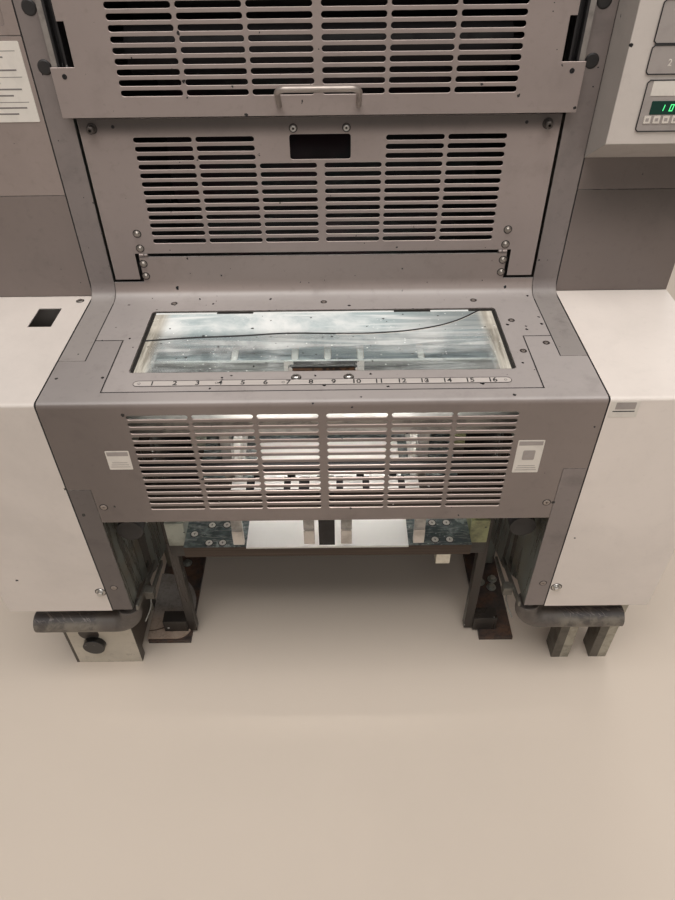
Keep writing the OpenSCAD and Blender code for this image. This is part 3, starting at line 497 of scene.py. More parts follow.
def metal(name, rgb, roughness=0.32, stains=0.25, metallic=1.0, rust=0.0):
    """Bare metal with a drawn grain, stains and some rust."""
    made = Finish(name, metallic=metallic)
    drawn = made.noise((4, 220, 220), 4.0)
    cloud = made.soiling(22.0, 0.46, 0.74)
    edge, _ = made.rim(0.0009)
    made.body = made.blend(drawn, shade(rgb, 0.82), shade(rgb, 1.12))
    made.lay(cloud, DARK_GRIME_AND_SHADE, stains)
    if rust:
        bloom = made.soiling(34.0, 0.52, 0.70) * rust
        made.lay(bloom, RUST)
        made.feed("Metallic", bloom.between(metallic, 0.0))
    made.lay(edge, shade(rgb, 1.3), 0.35)
    made.rough(cloud, roughness, roughness + 0.28)
    made.bump(drawn, 0.0002, 0.18)
    return made.done()


def plastic(name, rgb, roughness=0.45, dirt=0.25, edge=1.4):
    """Moulded plastic or rubber with a fine skin and hand grease."""
    made = Finish(name)
    cloud = made.soiling(40.0, 0.45, 0.75)
    rubbed, _ = made.rim(0.0008)
    made.body = made.blend(cloud * dirt, rgb, DARK_GRIME_AND_SHADE)
    made.lay(rubbed, shade(rgb, edge), 0.3 if edge > 1 else 1.0)
    made.rough(cloud, roughness, roughness + 0.2)
    made.skin(900.0, 0.0001, 0.2)
    return made.done()


def angle_legs(rgb):
    """Steel angles: the front flange is pale on its right half and in the shade on its left."""
    made = Finish("angle_legs", metallic=0.2)
    low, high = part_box("cabinet_legs_right")
    apart = 0.044
    cloud = made.soiling(30.0, 0.42, 0.68)
    wide = (high.x - low.x - apart) / 2
    made.body = made.blend(cloud, rgb, shade(rgb, 0.6))
    first = made.region(x=(None, low.x + wide / 2))
    second = made.region(x=(low.x + wide + 0.010, high.x - wide / 2))
    # Painted shade on the left half of each front flange
    made.lay(first | second, DARK_GRIME_AND_SHADE, 0.8)
    made.rough(cloud, 0.45, 0.65)
    made.skin(420.0, 0.0002, 0.3, 0.0012)
    return made.done()


def guide_zinc():
    """The guide plate: powder wiped along X, pale at the rear, cream sides and dirt at the notch."""
    made = Finish("guide_zinc", metallic=0.15)
    low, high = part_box("sheet_guide_plate")
    broad = made.noise((5, 42, 42), 7.0, Roughness=0.62, Distortion=0.9).ramp(0.40, 0.60)
    wiped = broad * 0.7 + made.soiling((16, 190, 190), 0.42, 0.64) * 0.3
    front = made.blend(wiped, (0.060, 0.085, 0.105), (0.430, 0.510, 0.540))
    back = made.blend(wiped, (0.400, 0.560, 0.580), (0.900, 0.950, 0.940))
    made.body = made.blend(made.y.ramp(low.y + 0.062, low.y + 0.092), front, back)
    flange = made.region(y=(None, low.y + 0.0021), z=(None, high.z - 0.015))
    made.lay(flange, made.blend(wiped, (0.130, 0.140, 0.140), (0.620, 0.640, 0.620)))
    made.lay(made.region(y=(None, low.y + 0.0035), z=(high.z - 0.0165, None)), (0.900, 0.930, 0.920))
    cream = made.blend(made.soiling(24.0, 0.42, 0.66), (0.560, 0.530, 0.460), (0.240, 0.210, 0.180))
    made.lay(made.region(side=(0.2835, None)), cream)
    made.lay(flange * made.region(side=(0.051, 0.066)), (0.80, 0.76, 0.72))
    grain = made.soiling(75.0, 0.44, 0.58)
    dirt = made.blend(grain, (0.010, 0.006, 0.005), (0.150, 0.075, 0.040))
    dirt = made.blend(made.region(z=(high.z - 0.027, None)), dirt, (0.004, 0.003, 0.003))
    made.lay(flange * (abs(made.x) < grain * 0.006 + 0.050), dirt)
    made.lay(made.specks(120.0, 0.10, 0.20), (0.90, 0.92, 0.92))
    made.lay(made.specks(80.0, 0.06, 0.2, turn=0.7), INK_AND_SHADE)
    made.rough(wiped, 0.26, 0.5)
    made.skin(420.0, 0.0002, 0.3)
    return made.done()


def stop_metal():
    """The sheet stops: pale feet, bright fingers, a dark rail and a black middle block.

    The top of the cross bar and the middle of the rail's top are white, a painted highlight; the rail's top
    has dark bands, and pale specks at its ends are painted glints.
    """
    made = Finish("stop_metal")
    low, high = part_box("sheet_stops")
    cloud = made.soiling(30.0, 0.42, 0.68)
    made.body = made.blend(cloud, (0.460, 0.440, 0.410), (0.240, 0.225, 0.205))
    feet = made.blend(cloud, (0.640, 0.590, 0.540), (0.470, 0.420, 0.370))
    made.lay(made.region(z=(None, low.z + 0.041)), feet)
    rail = made.region(y=(None, low.y + 0.0284), z=(DECK_Z - 0.2325, DECK_Z - 0.1895))
    # Painted glints: pale specks on the dark rail away from the middle
    glints = made.specks(110.0, 0.30, 0.25) * made.region(side=(0.10, None))
    made.lay(rail, made.blend(glints, DARK_GRIME_AND_SHADE, BARE_STEEL))
    # Painted highlight: the top of the cross bar and the middle of the rail's top in white
    lit_beam_top = made.upward() * made.region(z=(high.z - 0.001, None))
    lit_rail_top = rail * made.upward() * made.region(side=(None, 0.15))
    made.lay(lit_beam_top | lit_rail_top, (0.860, 0.840, 0.800))
    # Dark bands along the rail's top
    for start, end in RAIL_DARK_BANDS:
        made.lay(lit_rail_top * made.region(x=(start, end)), INK_AND_SHADE)
    made.lay(made.region(side=(None, 0.0142), z=(None, DECK_Z - 0.1945)), INK_AND_SHADE)
    made.feed("Metallic", ~cloud * 0.35)
    made.rough(cloud, 0.32, 0.6)
    made.skin(420.0, 0.0002, 0.3, 0.0009)
    return made.done()


def inked_metal():
    """Cylinders under a film of dried ink, black with dark red and green."""
    made = Finish("inked_metal")
    film = made.soiling((6, 14, 14), 0.40, 0.60)
    ink = made.blend(made.soiling(7.0, 0.42, 0.60), (0.020, 0.003, 0.008), (0.004, 0.010, 0.009))
    made.body = made.blend(film, ink, (0.007, 0.006, 0.007))
    made.rough(film, 0.5, 0.7)
    made.skin(160.0, 0.0003, 0.3)
    return made.done()


def rail_paint():
    """Black guard rails with a bare flange along the posts."""
    made = Finish("rail_paint")
    cloud = made.soiling(30.0, 0.42, 0.68)
    made.body = made.blend(made.specks(70.0, 0.18, 0.25), (0.016, 0.015, 0.016), (0.200, 0.190, 0.185))
    steel = made.blend(cloud, (0.250, 0.225, 0.205), (0.150, 0.132, 0.120))
    made.lay(made.region(side=(0.3573, None)), steel)
    made.rough(cloud, 0.32, 0.55)
    made.skin(420.0, 0.0002, 0.3, 0.001)
    return made.done()


def carrier_paint():
    """Carriers of the pile board: pale green on the left, yellow-green on the right, oily below."""
    made = Finish("carrier_paint")
    cloud = made.soiling(28.0, 0.44, 0.70)
    left = made.blend(cloud, (0.460, 0.480, 0.410), (0.260, 0.270, 0.220))
    right = made.blend(cloud, (0.330, 0.340, 0.170), (0.130, 0.130, 0.070))
    made.body = made.blend(made.region(x=(0, None)), left, right)
    made.lay(made.specks(75.0, 0.42, 0.22), INK_AND_SHADE)
    made.lay(made.region(z=(None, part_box("pile_carriers")[1].z - 0.0605)), (0.030, 0.026, 0.022))
    pad = made.region(x=(0.2025, 0.2295), y=(None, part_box("pile_board")[0].y + 0.0245))
    made.lay(pad, made.blend(cloud, (0.700, 0.640, 0.520), (0.520, 0.450, 0.350)))
    made.rough(cloud, 0.30, 0.55)
    made.skin(260.0, 0.0003, 0.4, 0.001)
    return made.done()


def oily_casting(name, rgb, drops=0.06):
    """Dark paint under oil that has run down, with pale drops of powder, turning black deeper in the tower as
    a painted shade.
    """
    made = Finish(name)
    runs = made.soiling((34, 34, 4), 0.40, 0.66)
    warm = (rgb[0], rgb[1] * 0.80, rgb[2] * 0.68)
    made.body = made.blend(made.soiling(9.0, 0.40, 0.66), rgb, warm)
    made.lay(runs, DARK_GRIME_AND_SHADE, 0.8)
    made.lay(made.specks(85.0, drops, 0.16), (0.52, 0.52, 0.50))
    # Painted shade: black and rougher deeper in the tower
    shaded_inside = made.y.ramp(TOWER_Y, TOWER_Y + 0.08)
    made.lay(shaded_inside, INK_AND_SHADE)
    made.feed("Roughness", runs.between(0.40, 0.20) | shaded_inside)
    made.skin(120.0, 0.0005, 0.4, 0.0015)
    return made.done()


def floor_pad_skin():
    """Dusty pad with a worn curved line."""
    made = Finish("floor_pad")
    cloud = made.soiling(26.0, 0.38, 0.70)
    near = made.y.ramp(FACE_Y + 0.180, FACE_Y + 0.130)
    far_tone = made.blend(cloud, (0.300, 0.270, 0.245), (0.230, 0.205, 0.185))
    near_tone = made.blend(cloud, (0.420, 0.320, 0.250), (0.330, 0.240, 0.180))
    made.body = made.blend(near, far_tone, near_tone)
    reach = made.distance((-0.400, FACE_Y + 0.185, 0.013))
    made.lay((abs(reach - 0.077) < 0.0016) * near, (0.110, 0.070, 0.050))
    made.lay(made.soiling(170.0, 0.48, 0.70), (0.100, 0.080, 0.065), 0.45)
    made.rough(cloud, 0.72, 0.92)
    made.skin(300.0, 0.0004, 0.5)
    return made.done()


def foot_enamel(rgb):
    """Pale paint on the machine foot, with a black oily knob and a dark neck."""
    made = Finish("foot_paint")
    low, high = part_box("cabinet_foot_left")
    cloud = made.soiling(14.0, 0.46, 0.74)
    made.body = made.blend(cloud * 0.35, rgb, shade(rgb, 0.5))
    made.lay(made.soiling(90.0, 0.56, 0.78), DARK_GRIME_AND_SHADE, 0.4)
    made.lay(made.rim(0.003, 0.40, 0.60)[1], DARK_GRIME_AND_SHADE, 0.8)
    made.lay((made.z + cloud * 0.06).ramp(0.130, 0.180), DARK_GRIME_AND_SHADE, 0.6)
    knob = made.region(y=(None, low.y + 0.0119))
    made.lay(knob, made.blend(made.specks(120.0, 0.3, 0.3), (0.014, 0.013, 0.012), (0.10, 0.09, 0.08)))
    reach = made.distance((low.x + 0.050, low.y, 0.104))
    made.lay((reach + cloud * 0.012 < 0.024) * ~knob, DARK_GRIME_AND_SHADE)
    sides = made.region(x=(None, low.x + 0.006)) | made.region(x=(high.x - 0.0006, None))
    made.lay(sides, (0.036, 0.026, 0.020), 0.92)
    made.rough(knob, 0.42, 0.22)
    made.skin(260.0, 0.0003, 0.3)
    return made.done()


def scraped_tube(rgb):
    """Paint on the foot tubes, scraped to bare metal along the top."""
    made = Finish("scraped_tube")
    outer = abs(made.x).ramp(0.425, 0.455)
    above = made.upward() * outer
    worn = made.soiling((12, 40, 40), 0.58, 0.66) * 0.8
    bare = (made.scratches(4.0, 45.0, 0.02, turn=0.75) | worn) * above
    moss = made.blend(outer, rgb, (0.185, 0.162, 0.132))
    made.body = made.blend(made.soiling(30.0, 0.44, 0.66), moss, shade(rgb, 0.7))
    made.lay(above, (0.050, 0.046, 0.050), 0.8)
    made.lay(bare, (0.230, 0.205, 0.195))
    made.feed("Metallic", bare)
    made.rough(bare, 0.5, 0.35)
    made.skin(300.0, 0.0003, 0.4, 0.001)
    return made.done()


def rusty_plate():
    """Oily floor plate, rusted through its paint."""
    made = Finish("rusty_plate")
    bloom = made.soiling(16.0, 0.40, 0.66)
    made.body = made.blend(bloom, (0.045, 0.036, 0.033), (0.120, 0.062, 0.038))
    made.lay(made.soiling(120.0, 0.45, 0.62), (0.020, 0.016, 0.015), 0.5)
    made.rough(bloom, 0.35, 0.85)
    made.skin(240.0, 0.0006, 0.5, 0.002)
    return made.done()


def coated_board():
    """Pile board: a worn dark metal skin on top and brown wood along the edges."""
    made = Finish("coated_board")
    top = made.upward()
    made.body = made.blend(made.soiling(17.0, 0.42, 0.68), (0.060, 0.075, 0.075), (0.240, 0.280, 0.275))
    made.lay(made.soiling(110.0, 0.45, 0.70), (0.030, 0.040, 0.040), 0.5)
    made.lay(made.scratches(9.0, 90.0, 0.03), BARE_STEEL, 0.5)
    spatter = made.specks(130.0, 0.34, 0.26) | made.soiling(40.0, 0.52, 0.68)
    made.lay(spatter * made.region(side=(0.150, None)), (0.56, 0.60, 0.57), 0.55)
    wood = made.blend(made.noise((6, 6, 260), 4.0), (0.020, 0.014, 0.010), (0.105, 0.070, 0.048))
    made.body = made.blend(top, wood, made.body)
    made.rough(top, 0.75, 0.36)
    made.skin(260.0, 0.0003, 0.35, 0.0015)
    return made.done()


def plain_wood(rgb):
    """Plain board with its grain along X."""
    made = Finish("plain_wood")
    rings = made.noise((3, 40, 90), 6.0, Distortion=0.6)
    made.body = made.blend(rings, shade(rgb, 0.62), shade(rgb, 1.2))
    made.rough(rings, 0.55, 0.8)
    made.bump(rings, 0.0004, 0.3)
    return made.done()


def paper():
    """White sheets, with the edges of the pile as fine lines."""
    made = Finish("paper")
    top = made.upward()
    edge = made.noise((3, 3, 2600), 3.0).ramp(0.38, 0.62)
    sides = made.blend(edge, (0.56, 0.54, 0.50), (0.84, 0.82, 0.78))
    sheet = made.blend(made.soiling(6.0, 0.40, 0.75), (0.90, 0.875, 0.84), (0.84, 0.815, 0.78))
    made.body = made.blend(top, sides, sheet)
    made.rough(top, 0.95, 0.80)
    made.bump(edge, 0.0002, 0.25)
    return made.done()


def clear_pane():
    """Scratched clear plastic with smears of powder, which lets the lamps through."""
    made = Finish("clear_pane")
    marks = made.scratches(6.0, 70.0, 0.012)
    made.body = made.blend(marks, (0.95, 0.98, 0.97), (0.80, 0.84, 0.84))
    made.lay(made.specks(95.0, 0.10, 0.12), (0.05, 0.05, 0.05))
    made.rough(marks, 0.01, 0.09)
    made.feed("Transmission Weight", 0.97)
    made.feed("IOR", 1.25)
    clear = add(made.tree, "ShaderNodeBsdfTransparent", {"Color": (0.975, 0.985, 0.98, 1)})
    swap_shader(made.tree, "Is Shadow Ray", made.shader, clear)
    return made.done()


def pane_film():
    """Powder on the pane: thick at the rear, wiped along X in front, with a white line at the rear edge,
    painted shade at the rear right and round the opening, and film painted over the deck's shadow.
    """
    made = Finish("pane_film")
    streak = made.noise((4, 48, 1), 7.0, Roughness=0.6, Distortion=0.7).ramp(0.40, 0.62)
    cloud = made.soiling(7.0, 0.36, 0.62)
    rear = made.y.ramp(FACE_Y + 0.172, FACE_Y + 0.202)
    # Film from here back, partly powder and partly a pale film painted over the deck's shadow on the plate
    haze_over_shadow = made.y.ramp(FACE_Y + 0.118, FACE_Y + 0.158) * 0.24
    cover = rear.between(haze_over_shadow + streak * cloud * 0.34, (streak | cloud) * 0.34 + 0.62)
    made.body = made.blend(streak | cloud, (0.600, 0.720, 0.740), (0.960, 0.980, 0.965))
    # Painted shade: darker towards the rear right
    made.lay(rear * made.x.ramp(0.060, 0.245), (0.230, 0.260, 0.260), 0.80)
    brushed = made.soiling((95, 7, 1), 0.36, 0.64)
    margin = abs(made.x).ramp(0.246, 0.268)
    cover = cover | margin * brushed.between(0.42, 0.78)
    made.lay(margin, made.blend(brushed, (0.470, 0.430, 0.360), (0.780, 0.740, 0.650)))
    pale = made.specks(150.0, 0.30, 0.18)
    dark = made.specks(100.0, 0.20, 0.2, turn=0.6)
    line = made.region(y=(FACE_Y + 0.2455, None))
    # Painted shade: dark rims round the opening, breaks in the rear line and a band behind it
    shadow_gaps = line * (made.region(side=(0.1165, 0.177)) | made.region(x=(0.240, None)))
    shadow_gaps = shadow_gaps | made.region(side=(0.2778, None)) | made.region(y=(FACE_Y + 0.2505, None))
    made.lay(pale | line, (0.900, 0.920, 0.900))
    made.lay(dark | shadow_gaps, (0.020, 0.018, 0.016))
    notch = made.region(side=(None, 0.052), y=(None, FACE_Y + 0.0955))
    made.feed("Alpha", (cover | (pale | dark | line | shadow_gaps) * 0.9) * ~notch)
    made.rough(streak, 0.4, 0.65)
    return made.done()


def glowing(name, rgb, strength):
    """A lit segment of the display, uneven over its face."""
    made = Finish(name, 0.4)
    cloud = made.soiling(500.0, 0.3, 0.7)
    made.body = made.blend(cloud, shade(rgb, 0.4), shade(rgb, 0.6))
    made.feed("Emission Color", made.blend(cloud, rgb, shade(rgb, 0.8)))
    made.feed("Emission Strength", strength)
    return made.done()


# Name, colour, roughness, dirt, and the tone of the edges where it isn't the usual one
PLASTICS = (
    ("line_print", (0.20, 0.18, 0.17), 0.6, 0.0),
    ("ink_rubber", (0.007, 0.005, 0.006), 0.6, 0.05),
    ("black_plastic", (0.020, 0.018, 0.018), 0.5),
    ("white_plastic", (0.85, 0.85, 0.81), 0.42, 0.15),
    ("key_plastic", (0.70, 0.64, 0.58), 0.38, 0.1, 0.12),
    ("panel_plastic", (0.36, 0.32, 0.30), 0.48, 0.15),
    ("plate_plastic", (0.71, 0.66, 0.60), 0.5, 0.12),
    ("dark_print", (0.010, 0.009, 0.010), 0.6, 0.0),
    ("display_glass", (0.004, 0.040, 0.030), 0.12, 0.0),
    ("screw_grime", (0.035, 0.027, 0.024), 0.5, 0.2),
)

# Name, colour, roughness, stains, metallic and rust
METALS = (
    ("bright_steel", (0.62, 0.60, 0.57), 0.28, 0.22),
    ("drawn_rod", (0.37, 0.32, 0.29), 0.38, 0.30, 0.6),
    ("link_steel", (0.20, 0.19, 0.165), 0.36, 0.6, 0.6, 0.35),
    ("dull_steel", (0.40, 0.41, 0.38), 0.44, 0.55, 1.0, 0.25),
    ("dark_metal", (0.085, 0.072, 0.065), 0.34, 0.3, 0.5),
    ("scale_metal", (0.60, 0.545, 0.51), 0.45, 0.12, 0.1),
    ("rivet_steel", (0.42, 0.38, 0.34), 0.28, 0.2),
)


def paints(colours):
    """The machine's paints. Each has its name, its colour and its wear."""
    guard, lift, post = colours.guard, colours.lift, colours.post
    tower, cabinet = colours.tower, colours.cabinet
    # Painted shade: the tower's lower panels darker below their seam
    step = (0.70, ("z", DECK_Z + 0.1737, DECK_Z + 0.1733))
    return [
        # Painted highlight on the slots' cut edges; dust and a painted top light on the deck strip
        painted(
            "guard_paint", guard, dirt=0.24, specks=0.12, seams=0.6, dust_and_top_light=DUST_AND_TOP_LIGHT, cut=3.2,
            fades=[(0.70, ("x", -0.16, -0.37))],
        ),
        # The guard's paint made lighter for the deck, a painted top light, with dust and painted top light
        # where it faces up
        painted(
            "deck_paint", shade(guard, 1.27), dirt=0.30, specks=0.30, roughness=0.34, seams=0.95, dust_and_top_light=DUST_AND_TOP_LIGHT,
            fades=[(0.86, ("x", -0.24, -0.36))], rim_width=0.0024,
        ),
        # Painted highlight on the slots' cut edges
        painted("lift_paint", shade(lift, 0.90), specks=0.26, seams=0.7, cut=3.6),
        # Painted highlight on the slots' cut edges, and a painted shadow of the upper guard along the top
        painted(
            "middle_paint", lift, specks=0.14, seams=0.7, cut=2.7,
            fades=[(0.88, ("x", 0, -0.33)), (0.30, ("z", DECK_Z + 0.252, DECK_Z + 0.276))],
        ),
        # Painted shade: the left leg strip darker than the right
        painted(
            "leg_paint", shade(post, 1.08), dirt=0.45, specks=0.05, chips=0.45,
            fades=[(0.54, ("x", 0.36, -0.36))],
        ),
        # Dust and a painted top light on what faces up
        painted(
            "post_paint", post, dirt=0.40, specks=0.24, chips=0.45, dust_and_top_light=(0.300, 0.270, 0.255), seams=0.6
        ),
        # Painted shade on the lower panels and towards the right, and a painted shadow under the control box
        painted(
            "tower_paint", tower, specks=0.03, seams=0.9, joint=0.3990,
            fades=[
                step, (0.78, ("x", 0.30, 0.50)),
                (
                    0.50, ("x", 0.33, 0.43), ("z", DECK_Z + 0.07, DECK_Z + 0.20),
                    ("z", DECK_Z + 0.40, DECK_Z + 0.25),
                ),
            ],
        ),
        # Painted shade on the lower panels
        painted("cover_paint", tower, specks=0.03, seams=0.9, fades=[step]),
        painted(
            "cabinet_paint", cabinet, dirt=0.10, chips=0.1, seams=0.12, joint=0.3992,
            fades=[(0.87, ("x", 0.30, -0.42))],
        ),
        # Painted shade on the box's left side face and on its lower part
        painted(
            "box_paint", shade(cabinet, 0.76), dirt=0.14, chips=0.2, seams=0.12,
            fades=[
                (0.66, ("x", 0.3988, 0.3982)),
                (0.66, ("z", DECK_Z + 0.2625, DECK_Z + 0.2605), ("x", 0.3982, 0.3988)),
            ],
        ),
        painted("black_paint", (0.022, 0.021, 0.022), dirt=0.3, specks=0.0, chips=0.25, seams=0.0),
    ]


def make_finishes(colours):
    """Every finish of the press, by the name of its material as it was asked for."""
    made = {
        "casting_paint": oily_casting("casting_paint", colours.casting),
        "oily_black": oily_casting("oily_black", (0.026, 0.022, 0.019), drops=0.10),
        "foot_paint": foot_enamel(colours.foot),
        "scraped_tube": scraped_tube((0.104, 0.088, 0.077)),
        "angle_legs": angle_legs((0.400, 0.370, 0.300)),
        "plain_wood": plain_wood((0.40, 0.27, 0.16)),
        "floor_pad": floor_pad_skin(),
        "digit_light": glowing("digit_light", (0.10, 0.95, 0.30), 1.1),
    }
    for make in (rusty_plate, guide_zinc, stop_metal, inked_metal, rail_paint, carrier_paint, coated_board):
        made[make.__name__] = make()
    for make in (paper, clear_pane, pane_film):
        made[make.__name__] = make()
    for row in METALS:
        made[row[0]] = metal(*row)
    for row in PLASTICS:
        made[row[0]] = plastic(*row)
    for paint in paints(colours):
        made[paint.name.split(".")[0]] = paint
    return made


# The finishes that are made, by name
MATERIALS = {}

# The pieces of the frame that take each finish
FINISHES = {
    "guard_paint": "front_guard",
    "deck_paint": "window_panel",
    "middle_paint": "middle_guard",
    "lift_paint": "upper_guard front_cover",
    "leg_paint": "leg_strips",
    "post_paint": "post_fairings",
    "tower_paint": "tower_panels",
    "cover_paint": "rear_cover top_cover unit_cover_left unit_cover_right",
    "cabinet_paint": "delivery_cabinet_left delivery_cabinet_right lower_covers feeder_sides",
    "box_paint": "control_box",
    "casting_paint": "side_frame_left side_frame_right",
    "foot_paint": "cabinet_foot_left",
    "black_paint": "tie_bars feeder_head rear_guard",
    "oily_black": "lift_rails",
    "rail_paint": "guard_rails",
    "scraped_tube": "foot_tubes",
    "rusty_plate": "floor_plates",
    "stop_metal": "sheet_stops",
    "bright_steel": "feed_board",
    "drawn_rod": "guard_handle",
    "angle_legs": "cabinet_legs_right",
    "carrier_paint": "pile_carriers",
    "guide_zinc": "sheet_guide_plate",
    "inked_metal": "printing_cylinders impression_cylinder",
    "ink_rubber": "ink_rollers",
    "scale_metal": "zone_strip",
    "black_plastic": "post_plugs jogger_knobs",
    "white_plastic": "sheet_brake",
    "panel_plastic": "control_panel",
    "key_plastic": "control_keys",
    "coated_board": "pile_board",
    "plain_wood": "feeder_pile_board",
    "paper": "paper_stack feeder_paper",
    "clear_pane": "window_pane",
}


# Mesh pieces


def mesh_of(name, bm):
    """Keeps what was modelled as a mesh."""
    mesh = bpy.data.meshes.new(name)
    bm.to_mesh(mesh)
    bm.free()
    return mesh


def new_object(name, data):
    """An object in the scene."""
    made = bpy.data.objects.new(name, data)
    bpy.context.scene.collection.objects.link(made)
    return made


def finish_piece(name, bm, slot, material, body="machine"):
    """Makes an object of a mesh in place, and gives it its body and its finish. The slot is not used."""
    made = new_object(name, mesh_of(name, bm))
    made.data.materials.append(MATERIALS[material])
    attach(made, body)


def template(name, bm):
    """Closes a small mesh that is stamped many times, and turns its faces outwards."""
    bmesh.ops.remove_doubles(bm, verts=bm.verts, dist=1e-7)
    bmesh.ops.holes_fill(bm, edges=bm.edges)
    bmesh.ops.recalc_face_normals(bm, faces=bm.faces)
    return mesh_of(name, bm)


def made_since(bm, count):
    """The corners that were made after so many others."""
    bm.verts.ensure_lookup_table()
    return bm.verts[count:]


def stamp(bm, mesh, place=Matrix.Identity(4)):
    """Adds a copy of a mesh at a place."""
    before = len(bm.verts)
    bm.from_mesh(mesh)
    bmesh.ops.transform(bm, matrix=place, verts=made_since(bm, before))


def raise_by(bm, extruded, height):
    """Moves what was just extruded along Z."""
    corners = [item for item in extruded["geom"] if isinstance(item, bmesh.types.BMVert)]
    bmesh.ops.translate(bm, verts=corners, vec=(0, 0, height))


def round_off(bm, geom, offset, segments, affect="EDGES"):
    """Rounds edges or corners."""
    bmesh.ops.bevel(
        bm, geom=geom, offset=offset, offset_type="OFFSET", segments=segments, profile=0.5, affect=affect,
        material=-1,
    )


def lathe(bm, profile, steps=18):
    """Turns a profile of radius and height about Z."""
    points = [bm.verts.new((radius, 0, height)) for radius, height in profile]
    lines = [bm.edges.new(ends) for ends in zip(points, points[1:])]
    bmesh.ops.spin(
        bm, geom=points + lines, cent=(0, 0, 0), axis=(0, 0, 1), angle=math.tau, steps=steps, use_merge=True,
        use_duplicate=False,
    )


def recess(bm, sides, radius, pinch, top, depth):
    """Sinks a socket into the open top rim: a hexagon, or a cross where every second corner is pinched in."""
    rim = [edge for edge in bm.edges if edge.is_boundary and all(v.co.z > top - 1e-6 for v in edge.verts)]
    made = bmesh.ops.create_circle(bm, segments=sides, radius=radius, matrix=Matrix.Translation((0, 0, top)))
    for corner in made["verts"][1::2]:
        corner.co.xy *= pinch
    outline = list({edge for corner in made["verts"] for edge in corner.link_edges})
    bmesh.ops.bridge_loops(bm, edges=rim + outline)
    raise_by(bm, bmesh.ops.extrude_edge_only(bm, edges=outline), -depth)


def button_head(diameter):
    """Button head with a hexagon socket."""
    bm = bmesh.new()
    r = diameter / 2
    top = r * 0.62
    lathe(bm, [(r, 0), (r, top * 0.35), (r * 0.88, top * 0.78), (r * 0.66, top)])
    recess(bm, 6, r * 0.46, 1.0, top, top * 0.7)
    return template("button_head", bm)


def cross_head(diameter):
    """Flat countersunk head with a cross recess."""
    bm = bmesh.new()
    r = diameter / 2
    top = r * 0.16
    lathe(bm, [(r, 0), (r * 0.97, top * 0.7), (r * 0.80, top)])
    recess(bm, 8, r * 0.60, 0.30, top, r * 0.35)
    return template("cross_head", bm)


def socket_dirt(diameter):
    """Dirt and painted shade in the socket of a button head."""
    bm = bmesh.new()
    floor = diameter / 2 * 0.62 * 0.3
    rim = [(diameter * 0.20, floor), (diameter * 0.19, floor + 0.0008)]
    lathe(bm, [(0, floor), *rim, (0, floor + 0.0006)], 12)
    return template("socket_dirt", bm)


def dome_head(diameter):
    """Round rivet head on a thin washer."""
    bm = bmesh.new()
    r = diameter / 2
    turns = [step * math.pi / 12 for step in range(1, 7)]
    arc = [(r * math.cos(turn), r * 0.25 + r * 0.7 * math.sin(turn)) for turn in turns]
    lathe(bm, [(r * 1.25, 0), (r * 1.25, r * 0.2), (r, r * 0.25), *arc[:-1], (0, arc[-1][1])], 16)
    return template("dome_head", bm)


def cone(bm, segments, low, high, depth, rise):
    """A closed cone or prism that stands at a height."""
    place = Matrix.Translation((0, 0, rise + depth / 2))
    bmesh.ops.create_cone(
        bm, cap_ends=True, segments=segments, radius1=low, radius2=high, depth=depth, matrix=place
    )


def hex_bolt(across, height):
    """Hexagon bolt head with a bevelled top, on a washer."""
    bm = bmesh.new()
    cone(bm, 6, across / 1.732, across / 1.732, height, 0.001)
    high = [edge for edge in bm.edges if all(v.co.z > height for v in edge.verts)]
    round_off(bm, high, height * 0.18, 2)
    cone(bm, 24, across * 0.85, across * 0.80, 0.0012, 0)
    bmesh.ops.recalc_face_normals(bm, faces=bm.faces)
    return mesh_of("hex_bolt", bm)


def bar(bm, low, high):
    """A box between two corners."""
    low, high = Vector(low), Vector(high)
    place = Matrix.Translation((low + high) / 2) @ Matrix.Diagonal((*(high - low), 1))
    return bmesh.ops.create_cube(bm, size=1.0, matrix=place)["verts"]


def plate(bm, width, height, thick, corner, place):
    """A thin plate with round corners, drawn flat and then put in place."""
    before = len(bm.verts)
    bmesh.ops.create_grid(bm, x_segments=1, y_segments=1, size=0.5)
    corners = made_since(bm, before)
    bmesh.ops.scale(bm, vec=(width, height, 1), verts=corners)
    round_off(bm, corners, corner, 5, "VERTICES")
    faces = {face for vert in made_since(bm, before) for face in vert.link_faces}
    raise_by(bm, bmesh.ops.extrude_face_region(bm, geom=list(faces)), thick)
    bmesh.ops.transform(bm, matrix=place, verts=made_since(bm, before))


def drawn_mesh(data):
    """The mesh of a curve or a text."""
    holder = new_object(data.name, data)
    bpy.context.view_layer.update()
    mesh = bpy.data.meshes.new_from_object(holder.evaluated_get(bpy.context.evaluated_depsgraph_get()))
    bpy.data.objects.remove(holder)
    return mesh


def curve_mesh(points, radius, smooth=True):
    """A round rod or line along points, as a mesh."""
    curve = bpy.data.curves.new("line", "CURVE")
    curve.dimensions = "3D"
    curve.bevel_depth = radius
    curve.bevel_resolution = 3
    curve.use_fill_caps = True
    spline = curve.splines.new("BEZIER" if smooth else "POLY")
    knots = spline.bezier_points if smooth else spline.points
    knots.add(len(points) - 1)
    for knot, point in zip(knots, points):
        if smooth:
            knot.co = point
            knot.handle_left_type = knot.handle_right_type = "AUTO"
        else:
            knot.co = (*point, 1)
    return drawn_mesh(curve)


def text_mesh(words, size):
    """A centred number as a thin mesh."""
    curve = bpy.data.curves.new("number", "FONT")
    curve.body = words
    curve.size = size
    curve.align_x = curve.align_y = "CENTER"
    curve.extrude = 0.00008
    curve.offset = size * 0.018
    return drawn_mesh(curve)


